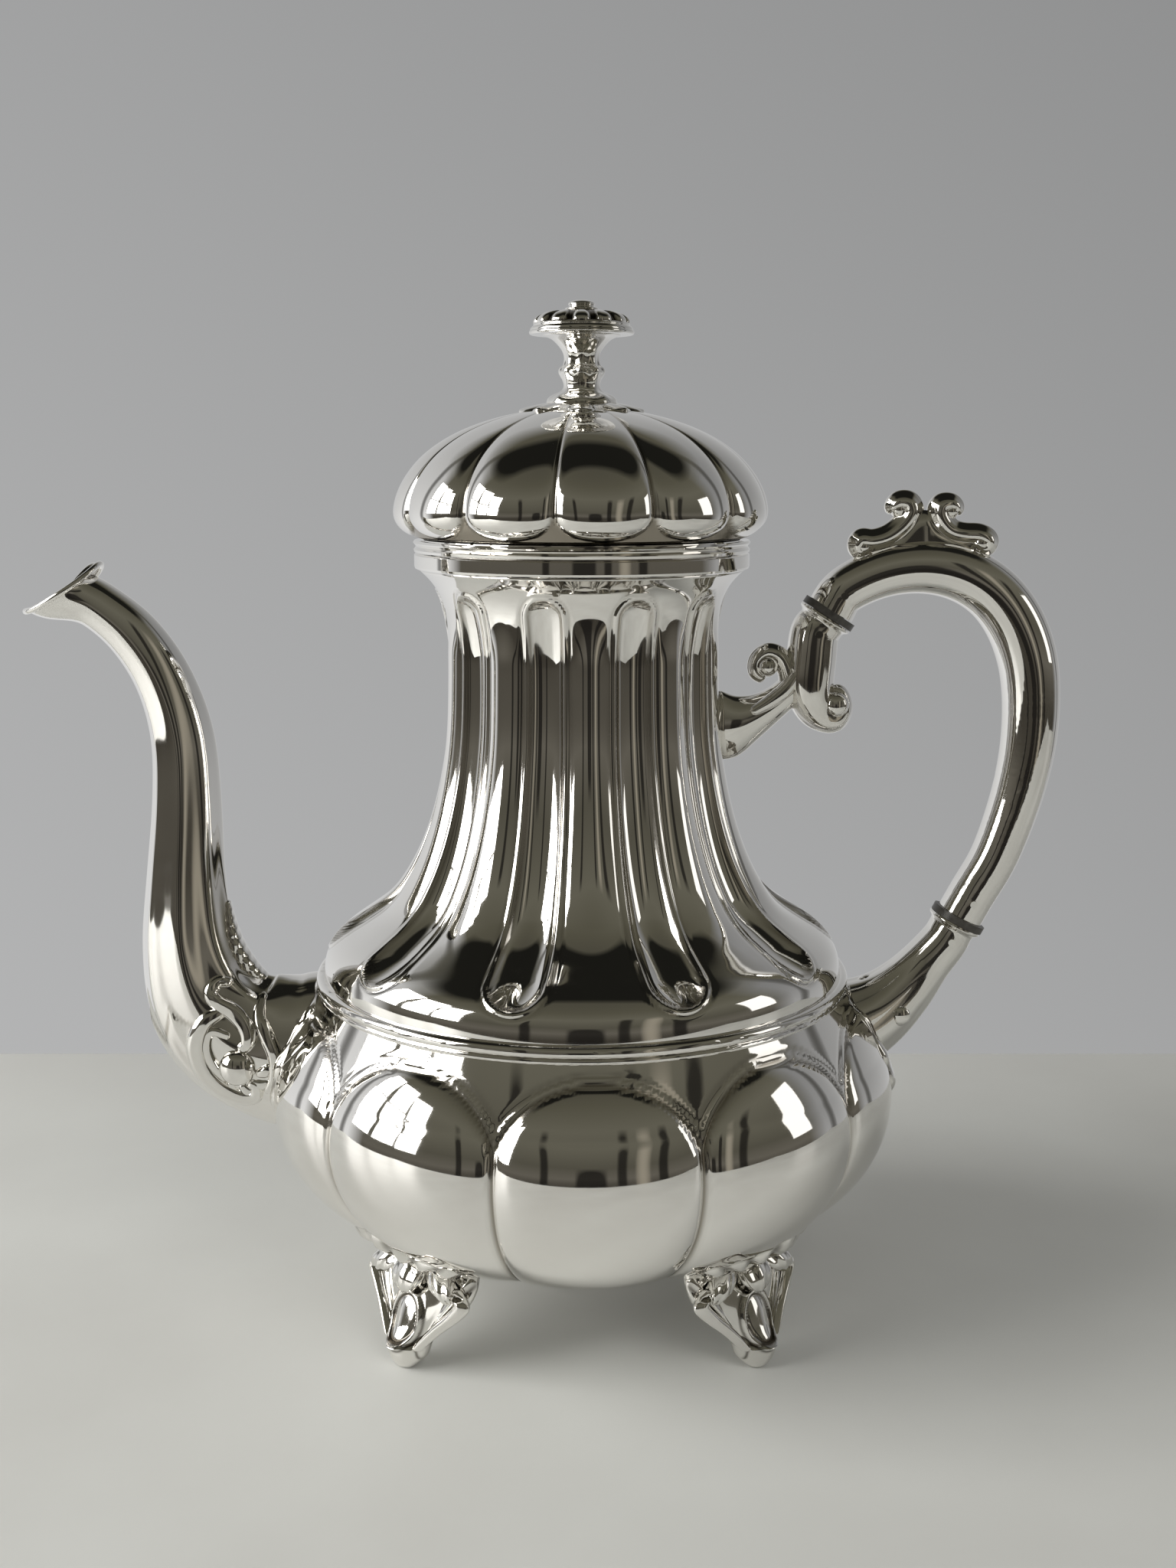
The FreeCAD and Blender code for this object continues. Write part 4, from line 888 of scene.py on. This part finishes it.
def from_foot(rows):
    """Rows whose first number is measured outwards from the feet's circle."""
    return [(FOOT_R + row[0],) + tuple(row[1:]) for row in rows]


leg = tube(from_foot([
    (-6.0, FLOOR + 7.0, 4.6, 14.5), (-4.4, FLOOR + 3.0, 4.4, 16.2), (-2.8, 0.93 * FLOOR, 4.2, 15.4),
    (-1.2, 0.76 * FLOOR, 4.0, 12.4), (0.4, 0.58 * FLOOR, 3.7, 9.0), (1.8, 0.42 * FLOOR, 3.7, 6.8),
    (3.0, 0.28 * FLOOR, 4.5, 6.2), (3.8, 0.17 * FLOOR, 4.5, 5.4), (4.2, 0.07 * FLOOR, 3.2, 3.8),
    (4.2, 0.0, 1.6, 2.2)]), 170, 144, None, (-180.0, 0.06), (False, False))
y, z = leg[..., 1], leg[..., 2]
front = unit((leg[..., 0] - FOOT_R - 4.2 + 0.42 * z) / 2.0)
oval = np.hypot(y / 4.6, (z - 12.0) / 6.0)
oval_boss = 0.9 * bell(oval, 1.0, 0.14) + 0.8 * np.sqrt(unit(1 - (oval / 0.8) ** 2))
spread_out = np.abs(y) / (4.8 + 0.60 * np.clip(z - 6.0, 0, None))
ribs = 0.75 * (bell(spread_out, 0.99, 0.07) + bell(spread_out, 1.22, 0.06)) * unit((z - 5.0) / 3.0)
waist = 0.8 * bell(z, 5.9, 0.6) * unit(1.3 - np.abs(y) / 6.0)
leg[..., 0] += front * (oval_boss + ribs + waist)
leg_shade = front * (bell(oval, 0.85, 0.08) + 0.8 * bell(oval, 1.2, 0.06)
                     + 0.8 * bell(spread_out, 1.1, 0.04)) + 0.8 * bell(z, 7.0, 0.45)
lobe = tube(from_foot([
    (5.4, 5.4, 1.0, 1.2, 4.8), (4.4, 8.0, 1.2, 1.5, 6.8), (3.0, 11.6, 1.3, 1.8, 9.8),
    (1.4, 15.2, 1.5, 2.1, 13.4), (0.2, 18.6, 1.8, 2.2, 16.0), (0.2, 20.8, 1.7, 2.0, 14.6),
    (1.0, 20.4, 1.4, 1.6, 12.6)]), 90, 24, lobed)
leafed = lambda t, a: 1.0 + 0.12 * np.cos(6 * a)
tongue = tube(from_foot([
    (-2.0, 26.0, 1.8, 3.0, 0.0), (2.0, 24.0, 2.0, 4.4, 0.0), (4.0, 21.6, 1.7, 4.2, 0.0),
    (4.4, 19.6, 1.1, 2.4, 0.0), (3.8, 18.6, 0.7, 1.0, 0.0)]), 50, 40, leafed)
wing = tube(from_foot([
    (-4.5, 26.0, 1.8, 3.2, 6.0), (0.0, 23.8, 2.0, 4.2, 8.4), (2.0, 21.6, 1.7, 3.8, 10.6),
    (1.8, 19.8, 1.1, 2.2, 12.0), (1.2, 19.0, 0.7, 0.9, 12.6)]), 50, 40, leafed)
foot_patches = [(leg, unit(leg_shade)), (lobe, 0.0), (flipped(lobe), 0.0), (tongue, 0.0),
                (wing, 0.0), (flipped(wing), 0.0)]
places = {"front_right": -45.0, "back_right": 45.0, "back_left": 135.0, "front_left": 225.0}
for name, turn in places.items():
    castings = [patch(turned(g, turn), hollow=h) for g, h in foot_patches]
    make_piece("foot_" + name + "_cast", castings, "pot", ["foot_" + name], CAST)

# %% [markdown]
# Above each foot a leaf is spread on the underside of the bowl. It is drawn in plan, and each
# point is then raised to the bowl: the profile is looked up by radius instead of by height, with
# the pillow's rise taken off first.

# %% Leaves over the feet
LEAF_LONG, LEAF_WIDE, LEAF_PROUD = 11.5, 17.0, 1.9


def under_bowl(x, y):
    """Height of the underside below plan points: the profile's height where its radius, with the
    pillow at that angle, equals the point's. Three rounds of correction are enough."""
    crest, z, crease = bowl_profile(200)
    low = slice(0, int(np.argmax(crest)))
    radius = np.hypot(x, y)
    pillow = pillow_at(1.0 - np.abs(across_lobe(np.arctan2(x, -y))))
    lift = 0.0 * radius
    for _ in range(3):
        lift = np.interp(radius - lift, (crest - crease)[low], crease[low]) * pillow
    return np.interp(radius - lift, (crest - crease)[low], z[low])


def foot_leaf(turn):
    """Five-lobed leaf: an oval whose edge goes in and out with the cosine of five times the polar
    angle, raised from the bowl along its slope by a rounded edge and a rib wave."""
    out = np.linspace(0.05, 1.0, 26)[:, None]
    a = steps_round(120)[None]
    reach, ribbed = out * (1.0 + 0.13 * np.cos(5 * a)), unit(out * 2 - 0.6)
    x, y = FOOT_R + 0.5 + LEAF_LONG * reach * np.cos(a), LEAF_WIDE * reach * np.sin(a)
    flat = turned(np.stack([x, y, 0 * x], axis=-1), turn)
    flat[..., 2] = under_bowl(flat[..., 0], flat[..., 1])
    rise = LEAF_PROUD * unit((1 - out) / 0.15) ** 0.5 * (0.75 + 0.35 * np.cos(15 * a) * ribbed)
    away = turned(np.stack([0.5 + 0 * rise, 0 * rise, -0.87 + 0 * rise], axis=-1), turn)
    face, back = flat + away * (rise - 0.3)[..., None], flat - away * 0.8
    shade = 0.6 * unit(-np.cos(15 * a)) * ribbed
    return patch(np.concatenate([face, back[::-1]]), hollow=np.concatenate([shade, 0 * shade]))


for name, turn in places.items():
    make_piece("leaf_" + name, [foot_leaf(turn)], "pot", ["foot_leaf_" + name], CAST)

# %% [markdown]
# The finial is a chased stem on a leaf rosette, with a petalled mushroom cap and a button. Each is
# a turned profile whose radius is rippled round the axis.

# %% The finial
DOME_TOP, PETALS, SCALLOPS = JOINT + DOME_H, 12, 8


def turned_piece(profile, rings, around, ripple=None):
    """Profile of (radius, height above the dome) spun round the axis, times 1 plus ripple(t, a)."""
    profile = np.array(profile, float) + np.array([0.0, DOME_TOP])
    r, z = fair(evened(profile, 4 * len(profile)), rings).T
    a, t = steps_round(around)[None], np.linspace(0, 1, rings)[:, None]
    size = 1.0 if ripple is None else 1.0 + ripple(t, a)
    return round_points(np.maximum(r, 0.05)[:, None] * size, a, z[:, None])


def rosette_ripple(t, a):
    """Deep notches between the leaves, widest a little inside the edge, and fine veins."""
    notch = unit(1.2 - np.abs(t - 0.42) * 3.2) * np.abs(np.sin(SCALLOPS / 2 * a)) ** 3
    return 0.02 * np.cos(4 * SCALLOPS * a) * unit(1 - np.abs(t - 0.5) * 3) - 0.20 * notch


def stem_ripple(t, a):
    """Chased petals round the neck and the foot of the stem."""
    return np.cos(SCALLOPS * a) * (0.07 * bell(t, 0.62, 0.14) + 0.05 * bell(t, 0.22, 0.08))


rosette = turned_piece([
    (1.0, -1.9), (9.2, -1.8), (14.0, -1.9), (14.8, -1.3), (14.4, -0.6), (12.4, 0.1), (9.6, 0.9),
    (6.0, 1.5), (1.0, 1.8)], 90, 192, rosette_ripple)
from_axis = np.hypot(rosette[..., 0], rosette[..., 1])
rosette[..., 2] += 0.45 * np.cos(SCALLOPS * steps_round(192))[None] * unit((from_axis - 6) / 8)
stem = turned_piece([
    (0.5, -0.5), (7.6, 0.8), (8.2, 1.9), (7.0, 3.0), (4.9, 4.0), (4.3, 5.2), (4.6, 6.6), (5.0, 7.4),
    (5.3, 8.4), (5.0, 9.4), (4.2, 10.2), (4.1, 12.0), (4.9, 13.8), (7.0, 16.0), (9.2, 17.2),
    (0.5, 17.4)], 130, 96, stem_ripple)
cap = turned_piece([
    (0.5, 17.2), (8.4, 17.0), (11.0, 17.2), (12.1, 17.7), (12.2, 18.4), (11.7, 19.0), (11.0, 19.2),
    (10.6, 20.2), (9.4, 21.4), (7.6, 22.3), (5.6, 22.8), (4.2, 22.9), (0.5, 23.0)], 110, 192)
wires = [turned_piece([(r - 0.5, h - 0.5), (r + 0.3, h - 0.5), (r + 0.6, h), (r + 0.3, h + 0.5),
                       (r - 0.5, h + 0.5)], 24, 96)
         for r, h in ((11.9, 17.6), (10.9, 19.3), (4.7, 8.4))]
button = turned_piece([
    (0.5, 22.4), (3.6, 22.7), (3.9, 23.2), (3.0, 23.6), (3.2, 24.2), (2.7, 24.7), (1.4, 25.1),
    (0.1, 25.15)], 40, 48)
print("finial stands", round(float(button[..., 2].max() - DOME_TOP), 2), "mm above the dome")

# %% [markdown]
# The cap's petals are pillows again, this time on a turned dish: an oval in polar angle and level,
# swollen outwards and upwards by the quarter-circle rule.

# %% Petals on the cap
level = unit((cap[..., 2] - DOME_TOP - 19.2) / 3.6)
on_top = (level > 0) * (level < 1)
off_crest = 1.0 - np.abs(np.cos(PETALS / 2 * steps_round(192)[None]))
petal = unit(1.0 - np.hypot(1.12 * off_crest / 0.62, (level - 0.48) / 0.50))
swell = np.sqrt(1.0 - (1.0 - petal) ** 2) * on_top
cap *= 1.0 + 0.085 * swell[..., None] * np.array([1.0, 1.0, 0.0])
cap[..., 2] += 0.55 * swell - 0.3 * (level > 0)
cap_shade = bell(petal, 0.0, 0.10) * on_top
make_piece("finial_rosette", [patch(rosette)], "lid", ["finial_leaf"], CAST)
make_piece("finial_chased_stem", [patch(stem), patch(wires[2])], "lid",
           ["finial_stem", "finial_collar"], CAST)
make_piece("finial_petal_cap", [patch(cap, hollow=cap_shade), patch(wires[0]), patch(wires[1])],
           "lid", ["finial_cap"], CAST)
make_piece("finial_top_button", [patch(button)], "lid", ["finial_button"], CAST)

# %% [markdown]
# The camera stands about 43 cm from the axis, at the height of the dome, and looks slightly
# down. Such a short distance gives the strong perspective that makes the front lobes swell.

# %% The camera
SENSOR, FOCAL_SHARE = 24.0, 2300.0 / 2048.0      # sensor height (mm); focal length over it
STAND_OFF, EYE, TILT = 0.430, 0.2115, 0.181      # metres, metres, radians down
view = bpy.data.cameras.new("view")
view.sensor_fit, view.sensor_height, view.sensor_width = "VERTICAL", SENSOR, 1.5 * SENSOR
view.lens = FOCAL_SHARE * SENSOR
view.clip_start = 0.01
camera = bpy.data.objects.new("view", view)
camera.location = ((AXIS[0] + 1.5) * MM, -STAND_OFF, EYE)
camera.rotation_euler = (np.pi / 2 - TILT, 0.0, 0.0)
bpy.context.scene.collection.objects.link(camera)
bpy.context.scene.camera = camera
print("lens", round(view.lens, 2), "mm")

# %% [markdown]
# A mirror shows its surroundings more than itself, so the room is part of the finish. The table is
# a pale honed slab whose back edge shows behind the pot. Its soft clouds and wear come from noise.

# %% The table
def table_top():
    """Pale honed slab: one soft noise mixes its two greys and sets its roughness."""
    finish, nodes, links, shader, where = new_finish("table_top")
    soft = noise(nodes, links, where, 7.0, 5.0)
    mottled = two_tones(nodes, links, soft, (0.60, 0.60, 0.575), (0.69, 0.70, 0.675), 0.3, 0.7)
    links.new(mottled, shader.inputs["Base Color"])
    shader.inputs["Specular IOR Level"].default_value = 0.25
    links.new(spread(nodes, links, soft, 0.30, 0.44), shader.inputs["Roughness"])
    return finish


slab = bpy.data.meshes.new("table")
x0, x1, y0, y1, z0 = -0.85, 0.85, -0.46, 0.182, -0.0002
plan = ((x0, y0), (x1, y0), (x1, y1), (x0, y1))
corners = [(x, y, z) for z in (z0, z0 - 0.02) for x, y in plan]
sides = [(k, k + 4, (k + 1) % 4 + 4, (k + 1) % 4) for k in range(4)]
slab.from_pydata(corners, [], [(0, 1, 2, 3), (7, 6, 5, 4)] + sides)
slab.materials.append(table_top())
table = bpy.data.objects.new("table", slab)
bpy.context.scene.collection.objects.link(table)
table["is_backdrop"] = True
print("table from y", y0, "to", y1)

# %% [markdown]
# The room is a world shader, and it answers three kinds of ray. The camera sees a light grey wall
# with painted window light: it grows lighter to the left and lower down. Matt surfaces are lit by
# one flat grey. What the metal sees is richer: the same wall behind, with its painted light,
# brighter and edged by a dark frame, and in front a dim olive room with a dark doorway, thin posts,
# a pale curtain and a dark beam overhead, which draws the arcs on the lobes.

# %% The room
world = bpy.data.worlds.new("room")
bpy.context.scene.world = world
world.use_nodes = True
nodes, links = world.node_tree.nodes, world.node_tree.links
nodes.clear()
where = nodes.new("ShaderNodeTexCoord")
parts = nodes.new("ShaderNodeSeparateXYZ")
links.new(where.outputs["Generated"], parts.inputs[0])


def figure(operation, *values, clamp=False):
    """One Math node: each value is a number or the output of another node."""
    node = nodes.new("ShaderNodeMath")
    node.operation, node.use_clamp = operation, clamp
    for k, value in enumerate(values):
        if isinstance(value, (int, float)):
            node.inputs[k].default_value = value
        else:
            links.new(value, node.inputs[k])
    return node.outputs[0]


def blend(share, one, other):
    """Mix of two colours; each is a triple of numbers or the output of another node."""
    node = nodes.new("ShaderNodeMix")
    node.data_type = "RGBA"
    links.new(share, node.inputs["Factor"])
    for key, value in (("A", one), ("B", other)):
        if isinstance(value, tuple):
            node.inputs[key].default_value = (*value, 1.0)
        else:
            links.new(value, node.inputs[key])
    return node.outputs["Result"]


right, ahead, up = parts.outputs
# Painted window light: the wall the camera sees is lighter to the left, where the window is, and
# lower down.
fade = figure("ADD", figure("MULTIPLY", right, -0.13), figure("MULTIPLY", up, -0.17))
tone = figure("ADD", fade, 0.36)
plain = nodes.new("ShaderNodeCombineColor")
for k, tint in enumerate((0.995, 1.0, 1.005)):
    links.new(figure("MULTIPLY", tone, tint), plain.inputs[k])
ramp = nodes.new("ShaderNodeValToRGB")
stops = [(0.00, (0.030, 0.027, 0.022)), (0.42, (0.050, 0.045, 0.036)),
         (0.50, (0.120, 0.111, 0.092)), (0.60, (0.085, 0.080, 0.062)),
         (0.78, (0.125, 0.119, 0.092)), (0.90, (0.090, 0.085, 0.062)),
         (1.00, (0.070, 0.066, 0.050))]
for k, (place, colour) in enumerate(stops):
    stop = ramp.color_ramp.elements[k] if k < 2 else ramp.color_ramp.elements.new(place)
    stop.position, stop.color = place, (*colour, 1.0)
links.new(figure("MULTIPLY_ADD", up, 0.5, 0.5), ramp.inputs["Fac"])
behind = figure("MULTIPLY_ADD", ahead, 4.0, 0.1, clamp=True)
wall_height = figure("MULTIPLY_ADD", up, -5.0, 4.2, clamp=True)
brighter = nodes.new("ShaderNodeVectorMath")
brighter.operation = "SCALE"
links.new(plain.outputs[0], brighter.inputs[0])
links.new(figure("MULTIPLY_ADD", right, -0.12, 1.45), brighter.inputs["Scale"])


def bump_at(value, place, width):
    """1 at a place, falling off to 0 a width away: 1 - ((value - place) / width)^2."""
    off = figure("MULTIPLY", figure("SUBTRACT", value, place), 1.0 / width)
    return figure("SUBTRACT", 1.0, figure("MULTIPLY", off, off), clamp=True)


def times(one, other, clamp=False):
    """Product of two values."""
    return figure("MULTIPLY", one, other, clamp=clamp)


frame_line = times(bump_at(ahead, 0.36, 0.07), 0.80)
wall_seen = blend(frame_line, brighter.outputs[0], (0.05, 0.048, 0.042))
door = times(times(bump_at(right, 0.03, 0.15), bump_at(up, -0.10, 0.30)), 2.6, clamp=True)
low_down = times(bump_at(up, -0.05, 0.62), 3.0, clamp=True)
posts = figure("ADD", bump_at(right, -0.40, 0.045), bump_at(right, 0.30, 0.05))
posts = figure("ADD", posts, bump_at(right, 0.66, 0.05))
dark_things = figure("MAXIMUM", door, times(times(posts, low_down), 1.5, clamp=True))
curtain = times(times(bump_at(right, 0.48, 0.07), low_down), 0.8)
room_seen = blend(curtain, ramp.outputs["Color"], (0.33, 0.30, 0.24))
room_seen = blend(times(dark_things, 0.88), room_seen, (0.011, 0.010, 0.009))
metal_sees = blend(times(behind, wall_height), room_seen, wall_seen)
beam = times(bump_at(ahead, 0.10, 0.36), figure("MULTIPLY_ADD", up, 7.0, -5.2, clamp=True))
beam = times(times(beam, 1.8, clamp=True), 0.95)
metal_sees = blend(beam, metal_sees, (0.007, 0.007, 0.006))
light = nodes.new("ShaderNodeLightPath")
sky = nodes.new("ShaderNodeBackground")
soft = blend(light.outputs["Is Diffuse Ray"], metal_sees, (0.20, 0.20, 0.19))
links.new(blend(light.outputs["Is Camera Ray"], soft, plain.outputs[0]), sky.inputs["Color"])
out = nodes.new("ShaderNodeOutputWorld")
links.new(sky.outputs[0], out.inputs["Surface"])
print("room made")

# %% [markdown]
# Daylight comes from a tall window of several panes on the left, a little in front. Area lights
# show in the metal as bright panes with dark bars between them, and a weak one on the right lifts
# the far edges. Panes bright enough to light the table would burn out in the metal, so most of the
# light on the table comes from two larger lamps that the metal can't see.

# %% The lights
POT_MIDDLE = (0.01, 0.0, 0.10)


def pane(name, place, size, power, colour=(1.0, 0.985, 0.96)):
    """Rectangular area light turned to face the middle of the pot."""
    lamp = bpy.data.lights.new(name, "AREA")
    lamp.shape, lamp.size, lamp.size_y = "RECTANGLE", size[0], size[1]
    lamp.energy, lamp.color = power, colour
    piece = bpy.data.objects.new(name, lamp)
    piece.location = place
    bpy.context.view_layer.update()
    facing = piece.location - type(piece.location)(POT_MIDDLE)
    piece.rotation_euler = facing.to_track_quat("Z", "Y").to_euler()
    bpy.context.scene.collection.objects.link(piece)
    return piece


for i in range(3):
    for j in range(2):
        pane(f"window_{i}_{j}", (-1.55, -0.95 + 0.50 * i, 0.50 + 0.57 * j), (0.42, 0.50), 3.6)
daylight = pane("daylight", (-1.50, -0.45, 0.95), (1.3, 1.1), 13.0)
fill = pane("fill", (0.70, -1.30, 1.10), (0.9, 0.7), 7.0)
for lamp in (daylight, fill):
    lamp.visible_glossy = False
pane("bounce_right", (1.5, -0.2, 0.55), (0.4, 0.7), 1.0, (1.0, 0.98, 0.95))
bpy.context.scene.view_settings.view_transform = "Standard"

# %% [markdown]
# The box round everything that renders, leaving out the table, is printed at the end. The model
# must stay inside the engineering box.

# %% Sizes and the end
low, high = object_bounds()
print("visual", [round(float(v), 4) for v in (*low, *high)])
